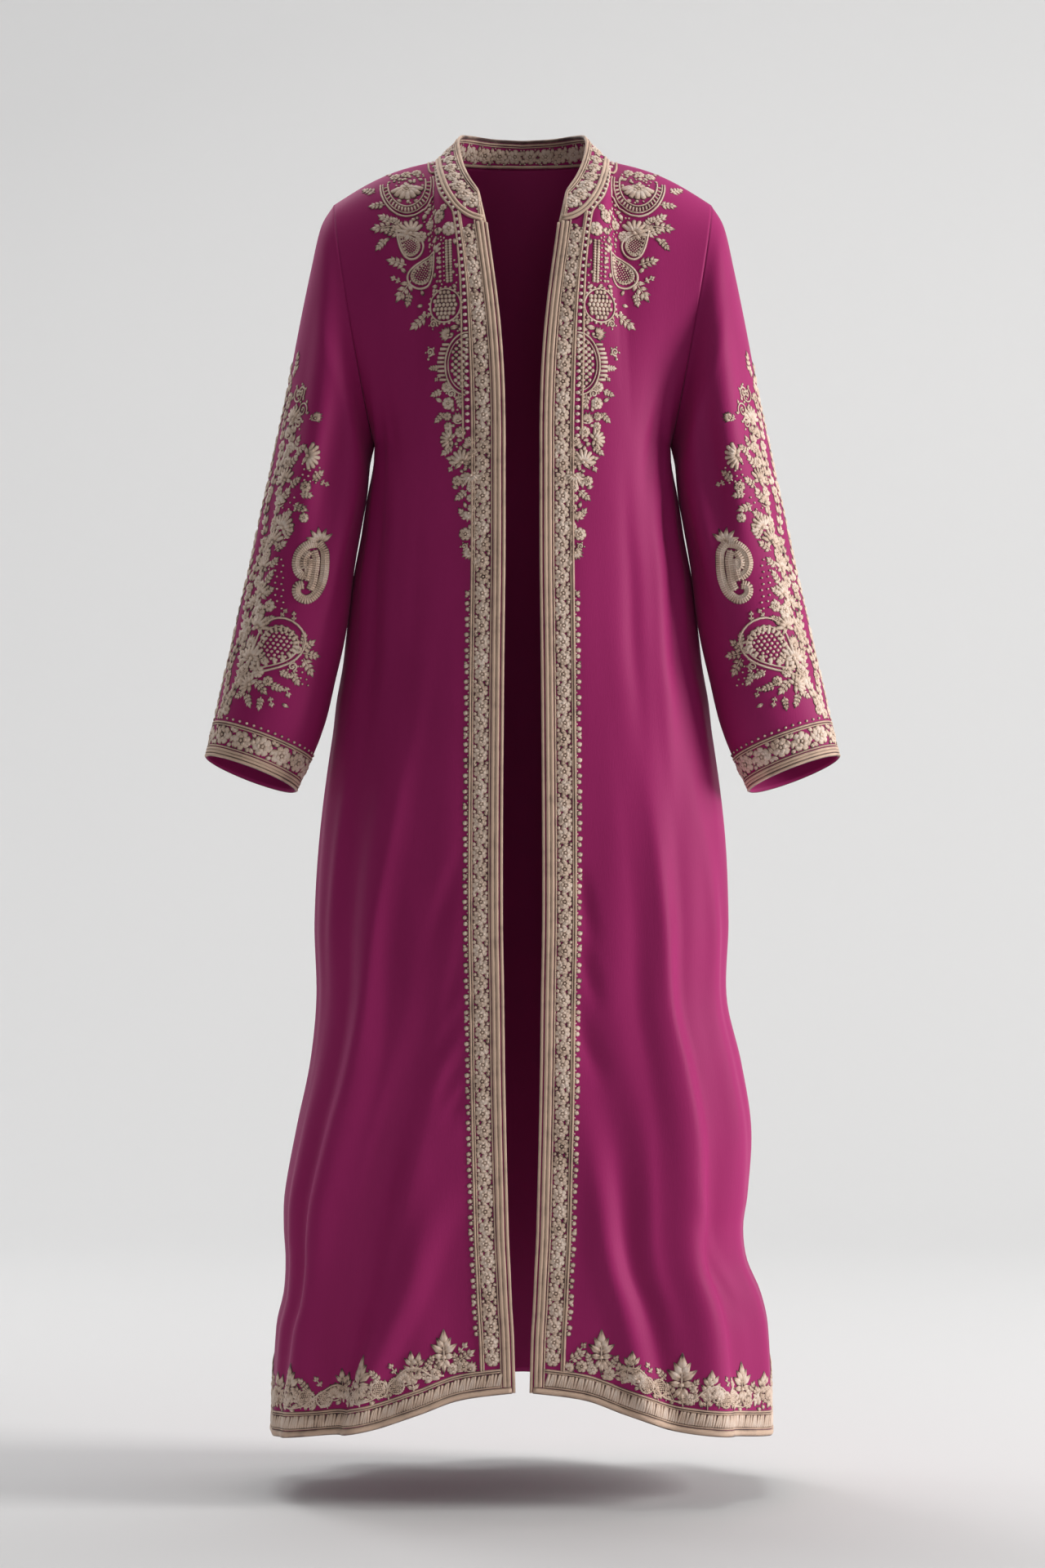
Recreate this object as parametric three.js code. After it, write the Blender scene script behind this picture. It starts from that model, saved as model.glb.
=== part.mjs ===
// A long open-front kaftan, worn but with no wearer in it, in millimetres with +Z up.
// The origin lies between the two shoulder seams, level with the sides of the neck, where a wearer carries it.
// The front faces -Y and the wearer's left is +X.
// Each panel is a sheet of points worked out from the tables below and given the thickness of its cloth.
import * as THREE from "three";

// Thicknesses and gaps
const CLOTH = 1.6;
const COLLAR_CLOTH = 2.4;
const SEAM_GAP = 0.3;
const BAND_LIFT = 0.35;
const BAND_CLOTH = 1.4;
const PIPING_RADIUS = 1.9;
const PIPING_SIDES = 6;

// Widths of the applied bands
const FRONT_BAND = 34;
const HEM_BAND = 24;
const CUFF_BAND = 40;
const COLLAR_BRAID = 9;
const COLLAR_LEAD = 1.6;
const PIPING_TRIM = 0.8;

// How finely each panel is divided. The first columns of a front panel span its band
const FRONT_BAND_STEPS = 2;
const LOWER_ROWS = 16;
const UPPER_ROWS = 10;
const FRONT_NECK_COLUMNS = 6;
const BACK_NECK_COLUMNS = 5;
const SHOULDER_COLUMNS = 11;
const SLEEVE_ROWS = 18;

// The underarm, the shoulder seam and the shape of the cross-section. A neck turn is the place round the panel
// where its neck seam ends and its shoulder seam begins
const UNDERARM_Z = -305;
const SHOULDER_NECK = new THREE.Vector3(96, 0, 9);
const SHOULDER_TIP = new THREE.Vector3(208, 0, -39);
const SHOULDER_CROWN = 8;
const ARMHOLE_DEPTH = 80;
const SECTION_POWER = 0.87;
const EDGE_RECESS_REACH = 0.42;
const FRONT_NECK_TURN = 0.4;
const BACK_NECK_TURN = 0.42;

// How each column of the upper body leaves the chest and arrives at the neck or shoulder seam
const CHEST_LIFT = 118;
const ARMPIT_LIFT = 24;
const ARMHOLE_SPREAD = 0.1;
const ARMHOLE_HOLLOW = 0.8;
const NECK_REACH = 64;
const NECK_ARRIVAL = new THREE.Vector3(0.12, 0.22, 0.97);
const SHOULDER_ARRIVAL = 0.93;
const FRONT_NECK_SLOPE = 0.56;
const BACK_NECK_SLOPE = 0.05;
const SHOULDER_SLOPE = 0.34;

// The sleeve's length, and the share of it over which the armhole's shape settles into the sleeve's own
const SLEEVE_LENGTH = 640;
const ARMHOLE_SETTLE = 0.2;

// Cross-sections of the body below the underarm. left and right: half width on each side, front and back: depth
// from the side seam, edge_x: half of the front opening, edge_y: depth of the front edge
const BODY_SECTIONS = [
  { z: -305, left: 163, right: 163, front: 106, back: 108, edge_x: 21.6, edge_y: 106 },
  { z: -340, left: 165, right: 165, front: 107, back: 105, edge_x: 21.6, edge_y: 107 },
  { z: -400, left: 172, right: 172, front: 108, back: 101, edge_x: 21.6, edge_y: 108 },
  { z: -448, left: 181, right: 181, front: 109, back: 100, edge_x: 21.8, edge_y: 109 },
  { z: -538, left: 192, right: 192, front: 112, back: 103, edge_x: 22.9, edge_y: 112 },
  { z: -592, left: 204, right: 204, front: 114, back: 107, edge_x: 23.4, edge_y: 114 },
  { z: -720, left: 222, right: 222, front: 121, back: 120, edge_x: 24.3, edge_y: 119 },
  { z: -826, left: 227, right: 229, front: 127, back: 130, edge_x: 24.3, edge_y: 123 },
  { z: -912, left: 225, right: 227, front: 131, back: 138, edge_x: 22.9, edge_y: 125 },
  { z: -983, left: 241, right: 234, front: 134, back: 144, edge_x: 22, edge_y: 126 },
  { z: -1055, left: 252, right: 249, front: 138, back: 151, edge_x: 20.6, edge_y: 127 },
  { z: -1127, left: 248, right: 262, front: 142, back: 158, edge_x: 18.8, edge_y: 128 },
  { z: -1163, left: 243, right: 263, front: 144, back: 161, edge_x: 17.8, edge_y: 129 },
  { z: -1199, left: 247, right: 261, front: 146, back: 164, edge_x: 16, edge_y: 130 },
  { z: -1235, left: 262, right: 263, front: 148, back: 167, edge_x: 14.4, edge_y: 130 },
  { z: -1271, left: 270, right: 271, front: 150, back: 171, edge_x: 12.3, edge_y: 131 },
  { z: -1390, left: 275, right: 277, front: 156, back: 182, edge_x: 9.5, edge_y: 133 },
];

// Height of the hem round each panel, from the front edge or the back's middle (turn 0) to the side seam (turn 1)
const FRONT_HEM = [
  { turn: 0, z: -1327 },
  { turn: 0.12, z: -1335 },
  { turn: 0.22, z: -1350 },
  { turn: 0.38, z: -1369 },
  { turn: 0.58, z: -1378 },
  { turn: 0.8, z: -1385 },
  { turn: 1, z: -1387 },
];
const BACK_HEM = [
  { turn: 0, z: -1353 },
  { turn: 0.35, z: -1360 },
  { turn: 0.7, z: -1376 },
  { turn: 1, z: -1386 },
];

// Large drape folds: a ridge (rise above 0) or trough that starts at from_z and is full at the hem.
// Its place round the panel goes from from_turn to hem_turn, and width is its half width there.
const LEFT_FRONT_FOLDS = [
  { from_z: -400, from_turn: 0.29, hem_turn: 0.51, width: 0.12, rise: 13 },
  { from_z: -860, from_turn: 0.11, hem_turn: 0.34, width: 0.1, rise: -10 },
  { from_z: -960, from_turn: 0.06, hem_turn: 0.3, width: 0.09, rise: 8 },
  { from_z: -600, from_turn: 0.44, hem_turn: 0.66, width: 0.11, rise: -5 },
  { from_z: -560, from_turn: 0.6, hem_turn: 0.84, width: 0.11, rise: 6 },
];
const RIGHT_FRONT_FOLDS = [
  { from_z: -400, from_turn: 0.26, hem_turn: 0.66, width: 0.12, rise: 15 },
  { from_z: -760, from_turn: 0.12, hem_turn: 0.52, width: 0.11, rise: -13 },
  { from_z: -1050, from_turn: 0.06, hem_turn: 0.42, width: 0.09, rise: 8 },
  { from_z: -560, from_turn: 0.58, hem_turn: 0.8, width: 0.11, rise: 6 },
];
const BACK_FOLDS = [
  { from_z: -360, from_turn: 0, hem_turn: 0, width: 0.15, rise: 12 },
  { from_z: -420, from_turn: 0.2, hem_turn: 0.22, width: 0.14, rise: -11 },
  { from_z: -330, from_turn: 0.41, hem_turn: 0.43, width: 0.16, rise: 14 },
  { from_z: -520, from_turn: 0.61, hem_turn: 0.63, width: 0.14, rise: -11 },
  { from_z: -600, from_turn: 0.8, hem_turn: 0.81, width: 0.14, rise: 9 },
];

// Neck seam from the front edge to the shoulder seam, and from the back's middle to the shoulder seam
const FRONT_NECK = [
  { x: 41, y: -77, z: -69 },
  { x: 56, y: -76, z: -65 },
  { x: 71, y: -71, z: -55 },
  { x: 85, y: -58, z: -35 },
  { x: 93.5, y: -35, z: -11 },
  { x: 96, y: 0, z: 9 },
];
const BACK_NECK = [
  { x: 0, y: 84, z: 13 },
  { x: 42, y: 78, z: 13 },
  { x: 76, y: 57, z: 13 },
  { x: 91, y: 29, z: 11.5 },
  { x: 96, y: 0, z: 9 },
];
// Top edge of the stand collar, matched to the neck seams above by its share of their length
const COLLAR_TOP_FRONT = [
  { x: 49, y: -58, z: -31 },
  { x: 59, y: -45, z: -15 },
  { x: 66, y: -27, z: 2 },
  { x: 70, y: -10, z: 18 },
  { x: 72, y: 8, z: 33 },
];
const COLLAR_TOP_BACK = [
  { x: 0, y: 84, z: 44 },
  { x: 34, y: 78, z: 45 },
  { x: 57, y: 58, z: 45.5 },
  { x: 69, y: 32, z: 42 },
  { x: 72, y: 8, z: 33 },
];

// Sleeve rings down the arm: outer and inner ends of each ring, its half depth, and how far it lies forward.
// tip_up lifts the front of the ring, so that the cuff opens a little forwards, and lean moves it to the body
const SLEEVE_RINGS = [
  { along: 0, out_x: 208, out_z: -39, in_x: 163, in_z: -305, depth: 68, forward: 0, tip_up: 0, lean: 0 },
  { along: 0.06, out_x: 222, out_z: -63, in_x: 166, in_z: -317, depth: 70, forward: 0, tip_up: 0, lean: 1 },
  { along: 0.13, out_x: 233, out_z: -110, in_x: 169.5, in_z: -334, depth: 70, forward: 1, tip_up: 0, lean: 3 },
  { along: 0.23, out_x: 246, out_z: -174, in_x: 174, in_z: -358, depth: 69, forward: 3, tip_up: 1, lean: 5 },
  { along: 0.35, out_x: 262, out_z: -260, in_x: 182, in_z: -396, depth: 66, forward: 6, tip_up: 2, lean: 7 },
  { along: 0.48, out_x: 280, out_z: -345, in_x: 190, in_z: -442, depth: 63, forward: 10, tip_up: 3, lean: 7 },
  { along: 0.61, out_x: 299, out_z: -434, in_x: 197, in_z: -496, depth: 60, forward: 15, tip_up: 4, lean: 7 },
  { along: 0.74, out_x: 318, out_z: -520, in_x: 207, in_z: -556, depth: 57, forward: 21, tip_up: 6, lean: 6 },
  { along: 0.86, out_x: 333, out_z: -588, in_x: 217, in_z: -612, depth: 52, forward: 27, tip_up: 7, lean: 4 },
  { along: 0.93, out_x: 341, out_z: -623, in_x: 229, in_z: -645, depth: 46, forward: 31, tip_up: 8, lean: 2 },
  { along: 1, out_x: 346, out_z: -648, in_x: 248, in_z: -684, depth: 41, forward: 35, tip_up: 9, lean: 0 },
];
// Sleeve folds: at is the place round the sleeve in degrees from the outer side towards the front
const SLEEVE_FOLDS = [
  { at: 62, drift: 14, from: 0.04, to: 0.62, width: 26, rise: 6 },
  { at: 104, drift: -10, from: 0.06, to: 0.6, width: 22, rise: -8 },
  { at: 140, drift: -26, from: 0.1, to: 0.75, width: 20, rise: 6 },
  { at: 30, drift: 4, from: 0.34, to: 0.9, width: 22, rise: -4 },
  { at: 292, drift: 8, from: 0.06, to: 0.7, width: 24, rise: 7 },
  { at: 255, drift: 6, from: 0.08, to: 0.66, width: 20, rise: -8 },
  { at: 214, drift: 10, from: 0.2, to: 0.82, width: 22, rise: 5 },
];

const MAGENTA = { color: 0x9a2a68, roughness: 0.62, metalness: 0 };
const THREAD = { color: 0xb39b82, roughness: 0.7, metalness: 0 };

const clamp01 = (t) => Math.min(1, Math.max(0, t));
const mix = (a, b, t) => a + (b - a) * t;
const smooth = (t) => clamp01(t) ** 2 * (3 - 2 * clamp01(t));
const vector = ({ x, y, z }) => new THREE.Vector3(x, y, z);
const swell = (t) => (Math.abs(t) < 1 ? Math.cos((t * Math.PI) / 2) ** 2 : 0);

// A smooth value of one column of a table, at a place along its key column, which may rise or fall.
function read(table, key, at, column) {
  const last = table.length - 1;
  const way = Math.sign(table[last][key] - table[0][key]);
  const slope = (i) => {
    const [a, b] = [table[Math.max(0, i - 1)], table[Math.min(last, i + 1)]];
    return (b[column] - a[column]) / (b[key] - a[key]);
  };
  let i = 0;
  while (i < last - 1 && way * (at - table[i + 1][key]) > 0) i += 1;
  const [a, b] = [table[i], table[i + 1]];
  const span = b[key] - a[key];
  const t = clamp01((at - a[key]) / span);
  const [t2, t3] = [t * t, t * t * t];
  return (
    (2 * t3 - 3 * t2 + 1) * a[column] +
    (t3 - 2 * t2 + t) * span * slope(i) +
    (3 * t2 - 2 * t3) * b[column] +
    (t3 - t2) * span * slope(i + 1)
  );
}

// A smooth 3-D curve through a table of points, read by its share of the length.
function curveOf(table) {
  return new THREE.CatmullRomCurve3(table.map(vector), false, "centripetal");
}
const frontNeck = curveOf(FRONT_NECK);
const backNeck = curveOf(BACK_NECK);
const collarTopFront = curveOf(COLLAR_TOP_FRONT);
const collarTopBack = curveOf(COLLAR_TOP_BACK);

// What differs between the body's quarters
const BODY = {
  frontLeft: { side: 1, width: "left", folds: LEFT_FRONT_FOLDS, hem: FRONT_HEM, front: true },
  frontRight: { side: -1, width: "right", folds: RIGHT_FRONT_FOLDS, hem: FRONT_HEM, front: true },
  backLeft: { side: 1, width: "left", folds: BACK_FOLDS, hem: BACK_HEM, front: false },
  backRight: { side: -1, width: "right", folds: BACK_FOLDS, hem: BACK_HEM, front: false },
};
for (const quarter of Object.values(BODY)) {
  quarter.neck = quarter.front ? frontNeck : backNeck;
  quarter.neckTurn = quarter.front ? FRONT_NECK_TURN : BACK_NECK_TURN;
  quarter.neckSlope = quarter.front ? FRONT_NECK_SLOPE : BACK_NECK_SLOPE;
}

// The fold's height at a turn round the panel and a height above the hem.
function foldRise(folds, turn, z, hemZ) {
  let rise = 0;
  for (const fold of folds) {
    const grown = clamp01((fold.from_z - z) / (fold.from_z - hemZ));
    const middle = mix(fold.from_turn, fold.hem_turn, grown);
    rise += fold.rise * smooth(grown * 1.25) * swell((turn - middle) / fold.width);
  }
  return rise;
}

// A point of the body below the underarm. turn runs from the front edge or the back's middle to the side seam.
function lowerPoint(panel, turn, z) {
  const half = read(BODY_SECTIONS, "z", z, panel.width);
  const depth = read(BODY_SECTIONS, "z", z, panel.front ? "front" : "back");
  const edge = panel.front ? read(BODY_SECTIONS, "z", z, "edge_x") : 0;
  const first = Math.asin((edge / half) ** (1 / SECTION_POWER));
  const angle = mix(first, Math.PI / 2, turn);
  const recess = panel.front
    ? (depth - read(BODY_SECTIONS, "z", z, "edge_y")) * (1 - smooth(turn / EDGE_RECESS_REACH))
    : 0;
  const cosine = Math.max(0, Math.cos(angle)) ** SECTION_POWER;
  const sine = Math.sin(angle) ** SECTION_POWER;
  const rise = foldRise(panel.folds, turn, z, read(panel.hem, "turn", turn, "z"));
  const x = half * sine + rise * Math.sin(angle) * smooth((1 - turn) / 0.25);
  const away = depth * cosine - recess + rise * Math.cos(angle);
  return new THREE.Vector3(x, panel.front ? -away : away, z);
}

// The neck seam and the shoulder seam as one line, from turn 0 to turn 1.
function topPoint(panel, turn) {
  if (turn <= panel.neckTurn) return panel.neck.getPointAt(clamp01(turn / panel.neckTurn));
  const share = (turn - panel.neckTurn) / (1 - panel.neckTurn);
  const point = SHOULDER_NECK.clone().lerp(SHOULDER_TIP, share);
  point.z += SHOULDER_CROWN * Math.sin(Math.PI * share);
  return point;
}

// A point above the underarm, on a curve that leaves the body section and rolls over into the neck or shoulder seam.
function upperPoint(panel, turn, rise) {
  const way = panel.front ? -1 : 1;
  const start = lowerPoint(panel, turn, UNDERARM_Z);
  const top = topPoint(panel, turn);
  const upwards = start.clone().sub(lowerPoint(panel, turn, UNDERARM_Z - 12)).normalize();
  const hollow = Math.max(0, ARMHOLE_DEPTH - Math.abs(start.y));
  const lift = mix(CHEST_LIFT, ARMPIT_LIFT, smooth((turn - 0.5) / 0.5));
  const leave = start.clone().addScaledVector(upwards, lift);
  leave.x += hollow * ARMHOLE_SPREAD;
  leave.y += hollow * ARMHOLE_HOLLOW * way;
  const roll = smooth(turn / panel.neckTurn);
  const sideways = panel.front ? 1 : roll * (1 - roll);
  const up = new THREE.Vector3(NECK_ARRIVAL.x * sideways, -NECK_ARRIVAL.y * way, NECK_ARRIVAL.z);
  const slope = mix(panel.neckSlope, SHOULDER_SLOPE, smooth((turn - panel.neckTurn) / 0.3));
  const over = new THREE.Vector3(0, -SHOULDER_ARRIVAL * way, slope);
  const arrive = up.lerp(over, roll).normalize();
  const reach = Math.max(Math.abs(start.y), ARMHOLE_DEPTH) - Math.abs(top.y);
  const before = top.clone().addScaledVector(arrive, -mix(NECK_REACH, 0.98 * reach, roll));
  return new THREE.CubicBezierCurve3(start, leave, before, top).getPoint(rise);
}

// Heights of the rows of a body panel: shares of the lower part from the hem, then of the upper part.
// The second row is the top of the hem band.
function rowShares() {
  const bandShare = HEM_BAND / (UNDERARM_Z - FRONT_HEM[0].z);
  const lower = [0];
  for (let k = 1; k <= LOWER_ROWS; k += 1) {
    lower.push(mix(bandShare, 1, (k - 1) / (LOWER_ROWS - 1)));
  }
  const upper = Array.from({ length: UPPER_ROWS }, (_, k) => (k + 1) / UPPER_ROWS);
  return { lower, upper };
}

// One row of a panel as a function of its turn.
function rowFunctions(panel) {
  const { lower, upper } = rowShares();
  const below = lower.map((share) => (turn) => {
    const hem = read(panel.hem, "turn", turn, "z");
    return lowerPoint(panel, turn, mix(hem, UNDERARM_Z, share));
  });
  return [...below, ...upper.map((share) => (turn) => upperPoint(panel, turn, share))];
}

// The turn at which a row has run a given distance from its start.
function turnAtLength(row, length) {
  const step = 0.004;
  let [turn, run, last, before] = [0, 0, 0, row(0)];
  while (run < length) {
    turn += step;
    const next = row(turn);
    last = next.distanceTo(before);
    run += last;
    before = next;
  }
  return turn - (step * (run - length)) / last;
}

// Turns of a panel's columns: to the shoulder's neck end, then on along the shoulder.
// A front panel's first steps span the front band.
function columnTurns(panel, row) {
  const neckColumns = panel.front ? FRONT_NECK_COLUMNS : BACK_NECK_COLUMNS;
  const turns = [0];
  let from = 0;
  if (panel.front) {
    for (let k = 1; k <= FRONT_BAND_STEPS; k += 1) {
      from = turnAtLength(row, (FRONT_BAND * k) / FRONT_BAND_STEPS);
      turns.push(from);
    }
  }
  const left = neckColumns + 1 - turns.length;
  for (let k = 1; k <= left; k += 1) turns.push(mix(from, panel.neckTurn, k / left));
  for (let k = 1; k <= SHOULDER_COLUMNS; k += 1) turns.push(mix(panel.neckTurn, 1, k / SHOULDER_COLUMNS));
  return turns;
}

const mirrored = (point) => new THREE.Vector3(-point.x, point.y, point.z);

// A sheet is rows of points. Rows run so that the cross product of along-row and between-row steps points out.
function halfPanel(panel) {
  return rowFunctions(panel).map((row) => columnTurns(panel, row).map(row));
}

function frontSheet(panel) {
  const rows = halfPanel(panel);
  return panel.side > 0 ? rows : rows.map((row) => row.map(mirrored).reverse());
}

function backSheet() {
  const left = halfPanel(BODY.backLeft);
  return halfPanel(BODY.backRight).map((row, j) => [...left[j].slice(1).reverse(), ...row.map(mirrored)]);
}

// The sleeve's first ring is the armhole: from the shoulder down the front panel's edge and up the back's.
function armholeRing(front, back) {
  const edge = (panel) => rowFunctions(panel).slice(LOWER_ROWS).map((row) => row(1));
  return [...edge(front).reverse(), ...edge(back).slice(1, -1)];
}

function sleeveFoldRise(along, degrees) {
  let rise = 0;
  for (const fold of SLEEVE_FOLDS) {
    const run = (along - fold.from) / (fold.to - fold.from);
    const middle = fold.at + fold.drift * clamp01(run);
    rise += fold.rise * swell(2 * run - 1) * swell((degrees - middle) / fold.width);
  }
  return rise;
}

// A point of the sleeve: along runs from armhole to cuff, degrees from the outer side round by the front.
function sleevePoint(along, degrees) {
  const value = (column) => read(SLEEVE_RINGS, "along", along, column);
  const angle = THREE.MathUtils.degToRad(degrees);
  const outer = new THREE.Vector3(value("out_x"), -value("forward"), value("out_z"));
  const inner = new THREE.Vector3(value("in_x"), -value("forward"), value("in_z"));
  const middle = outer.clone().add(inner).multiplyScalar(0.5);
  const across = outer.sub(middle);
  const forwards = new THREE.Vector3(-value("lean"), -value("depth"), value("tip_up"));
  const grow = 1 + sleeveFoldRise(along, degrees) / forwards.length();
  return middle
    .addScaledVector(across, Math.cos(angle) * grow)
    .addScaledVector(forwards, Math.sin(angle) * grow);
}

function sleeveSheet(front, back) {
  const ring = armholeRing(front, back);
  const rows = [];
  const bandShare = 1 - CUFF_BAND / SLEEVE_LENGTH;
  for (let k = 0; k <= SLEEVE_ROWS; k += 1) {
    const along = k === SLEEVE_ROWS ? 1 : mix(0, bandShare, k / (SLEEVE_ROWS - 1));
    const settle = smooth(along / ARMHOLE_SETTLE);
    rows.push(
      ring.map((start, i) => {
        const degrees = (360 * i) / ring.length;
        const shift = start.clone().sub(sleevePoint(0, degrees));
        return sleevePoint(along, degrees).addScaledVector(shift, 1 - settle);
      }),
    );
  }
  return front.side > 0 ? rows : rows.map((row) => row.map(mirrored).reverse());
}

// The collar stands on the neck seam's own points, from the left front edge round the back to the right.
function collarSheet(leftFront, back, rightFront) {
  const top = (sheet) => sheet[sheet.length - 1];
  const left = top(leftFront).slice(0, FRONT_NECK_COLUMNS + 1);
  const right = top(rightFront).slice(-FRONT_NECK_COLUMNS - 1);
  const middle = SHOULDER_COLUMNS + BACK_NECK_COLUMNS;
  const behind = top(back).slice(middle - BACK_NECK_COLUMNS, middle + BACK_NECK_COLUMNS + 1);
  const base = [...left, ...behind.slice(1), ...right.slice(1)];
  const upper = base.map((point) => {
    const front = point.y < 0;
    const seam = front ? frontNeck : backNeck;
    const edge = front ? collarTopFront : collarTopBack;
    const found = edge.getPointAt(shareOf(seam, point) ** (front ? COLLAR_LEAD : 1));
    return point.x < 0 ? mirrored(found) : found;
  });
  const height = base[0].distanceTo(upper[0]);
  return [0, COLLAR_BRAID / height, (COLLAR_BRAID / height + 1) / 2, 1].map((share) =>
    base.map((point, i) => {
      const between = point.clone().lerp(upper[i], share);
      between.y += Math.sign(point.y) * 1.5 * Math.sin(Math.PI * share);
      return between;
    }),
  );
}

// The share of the seam's length at which it passes the given point or its mirror image.
function shareOf(seam, { x, y }) {
  const steps = 400;
  let [best, nearest] = [0, Infinity];
  for (let k = 0; k <= steps; k += 1) {
    const p = seam.getPointAt(k / steps);
    const gap = Math.hypot(p.x - Math.abs(x), p.y - y);
    if (gap < nearest) [best, nearest] = [k / steps, gap];
  }
  return best;
}

// Unit normals of a sheet, from the steps to the neighbours of each point.
function normalsOf(rows, closed) {
  const [rowCount, columnCount] = [rows.length, rows[0].length];
  const column = (i) => (closed ? (i + columnCount) % columnCount : Math.min(columnCount - 1, Math.max(0, i)));
  return rows.map((row, j) =>
    row.map((_, i) => {
      const across = row[column(i + 1)].clone().sub(row[column(i - 1)]);
      const up = rows[Math.min(rowCount - 1, j + 1)][i].clone().sub(rows[Math.max(0, j - 1)][i]);
      return across.cross(up).normalize();
    }),
  );
}

const placeKey = (p) => [p.x, p.y, p.z].map((v) => Math.round(v * 20)).join(",");

// Points that lie together on a seam get one normal, so that the walls meet in one mitre.
function shareNormals(sheets) {
  const sums = new Map();
  for (const { rows, normals } of sheets) {
    rows.forEach((row, j) =>
      row.forEach((point, i) => {
        const key = placeKey(point);
        if (!sums.has(key)) sums.set(key, new THREE.Vector3());
        sums.get(key).add(normals[j][i]);
      }),
    );
  }
  for (const { rows, normals } of sheets) {
    rows.forEach((row, j) => row.forEach((point, i) => normals[j][i].copy(sums.get(placeKey(point))).normalize()));
  }
}

// Unit steps from an edge's points into the sheet, square to the edge.
function inwardSteps(edge, inner, closed) {
  const last = edge.length - 1;
  return edge.map((point, i) => {
    const before = edge[closed ? (i || edge.length) - 1 : Math.max(0, i - 1)];
    const after = edge[closed ? (i + 1) % edge.length : Math.min(last, i + 1)];
    const along = after.clone().sub(before).normalize();
    const way = inner[i].clone().sub(point);
    return way.addScaledVector(along, -way.dot(along)).normalize();
  });
}

const columnOf = (rows, i) => rows.map((row) => row.at(i));

// Half of the seam's gap is taken from each sheet's edges.
function pullBack({ rows, closed }) {
  const edges = [
    [rows[0], rows[1]],
    [rows.at(-1), rows.at(-2)],
  ];
  if (!closed) edges.push([columnOf(rows, 0), columnOf(rows, 1)], [columnOf(rows, -1), columnOf(rows, -2)]);
  const steps = edges.map(([edge, inner]) => inwardSteps(edge, inner, closed));
  edges.forEach(([edge], k) => edge.forEach((point, i) => point.addScaledVector(steps[k][i], SEAM_GAP / 2)));
}

// A closed wall between two offsets along the sheet's normals.
// A quad of its rim is split along its shorter diagonal, so that two walls that meet are split alike.
function wall({ rows, normals, closed }, outerLift, innerLift) {
  const [rowCount, columnCount] = [rows.length, rows[0].length];
  const points = [outerLift, innerLift].flatMap((lift) =>
    rows.flatMap((row, j) => row.map((point, i) => point.clone().addScaledVector(normals[j][i], lift))),
  );
  const outer = (j, i) => j * columnCount + (i % columnCount);
  const inner = (j, i) => rowCount * columnCount + outer(j, i);
  const index = [];
  const quad = (a, b, c, d) => index.push(a, b, c, a, c, d);
  const rimQuad = (a, b, c, d) => {
    const turned = points[b].distanceTo(points[d]) < points[a].distanceTo(points[c]);
    quad(...(turned ? [b, c, d, a] : [a, b, c, d]));
  };
  const [lastRow, lastColumn] = [rowCount - 1, columnCount - 1];
  for (let i = 0; i < (closed ? columnCount : lastColumn); i += 1) {
    for (let j = 0; j < lastRow; j += 1) {
      quad(outer(j, i), outer(j, i + 1), outer(j + 1, i + 1), outer(j + 1, i));
      quad(inner(j, i), inner(j + 1, i), inner(j + 1, i + 1), inner(j, i + 1));
    }
    rimQuad(inner(0, i), inner(0, i + 1), outer(0, i + 1), outer(0, i));
    rimQuad(outer(lastRow, i), outer(lastRow, i + 1), inner(lastRow, i + 1), inner(lastRow, i));
  }
  for (let j = 0; j < lastRow && !closed; j += 1) {
    rimQuad(inner(j, 0), outer(j, 0), outer(j + 1, 0), inner(j + 1, 0));
    rimQuad(outer(j, lastColumn), inner(j, lastColumn), inner(j + 1, lastColumn), outer(j + 1, lastColumn));
  }
  return new THREE.BufferGeometry().setFromPoints(points).setIndex(index);
}

// A band that lies on part of a sheet, from its outer points moved out.
function band({ rows, normals, closed }, rowRange, columnRange) {
  const cut = (grid) => grid.slice(...rowRange).map((row) => row.slice(...columnRange));
  const piece = { rows: cut(rows).map((row) => row.map((p) => p.clone())), normals: cut(normals), closed };
  pullBack(piece);
  return wall(piece, BAND_LIFT + BAND_CLOTH, BAND_LIFT);
}

// A round piping just outside an edge. inward holds the steps from the edge into the cloth.
function piping(edge, normals, inward) {
  const centres = edge.map((point, i) =>
    point.clone().addScaledVector(inward[i], -PIPING_RADIUS - SEAM_GAP).addScaledVector(normals[i], -CLOTH / 2),
  );
  const trim = (end, next) => end.addScaledVector(next.clone().sub(end).normalize(), PIPING_TRIM);
  trim(centres[0], centres[1]);
  trim(centres.at(-1), centres.at(-2));
  const rings = centres.map((centre, i) =>
    Array.from({ length: PIPING_SIDES }, (_, k) => {
      const angle = (2 * Math.PI * (k + 0.5)) / PIPING_SIDES;
      const out = inward[i].clone().multiplyScalar(-Math.cos(angle)).addScaledVector(normals[i], Math.sin(angle));
      return centre.clone().addScaledVector(out, PIPING_RADIUS);
    }),
  );
  return rod(rings);
}

// A closed solid through rings of points, with flat ends.
function rod(rings) {
  const [count, sides] = [rings.length, rings[0].length];
  const at = (i, k) => i * sides + (k % sides);
  const index = [];
  for (let k = 0; k < sides; k += 1) {
    for (let i = 0; i < count - 1; i += 1) {
      index.push(at(i, k), at(i, k + 1), at(i + 1, k + 1), at(i, k), at(i + 1, k + 1), at(i + 1, k));
    }
  }
  for (let k = 1; k < sides - 1; k += 1) {
    index.push(at(0, 0), at(0, k + 1), at(0, k));
    index.push(at(count - 1, 0), at(count - 1, k), at(count - 1, k + 1));
  }
  const geometry = new THREE.BufferGeometry().setFromPoints(rings.flat()).setIndex(index);
  if (volumeOf(geometry) < 0) geometry.setIndex([...geometry.index.array].reverse());
  return geometry;
}

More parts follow.
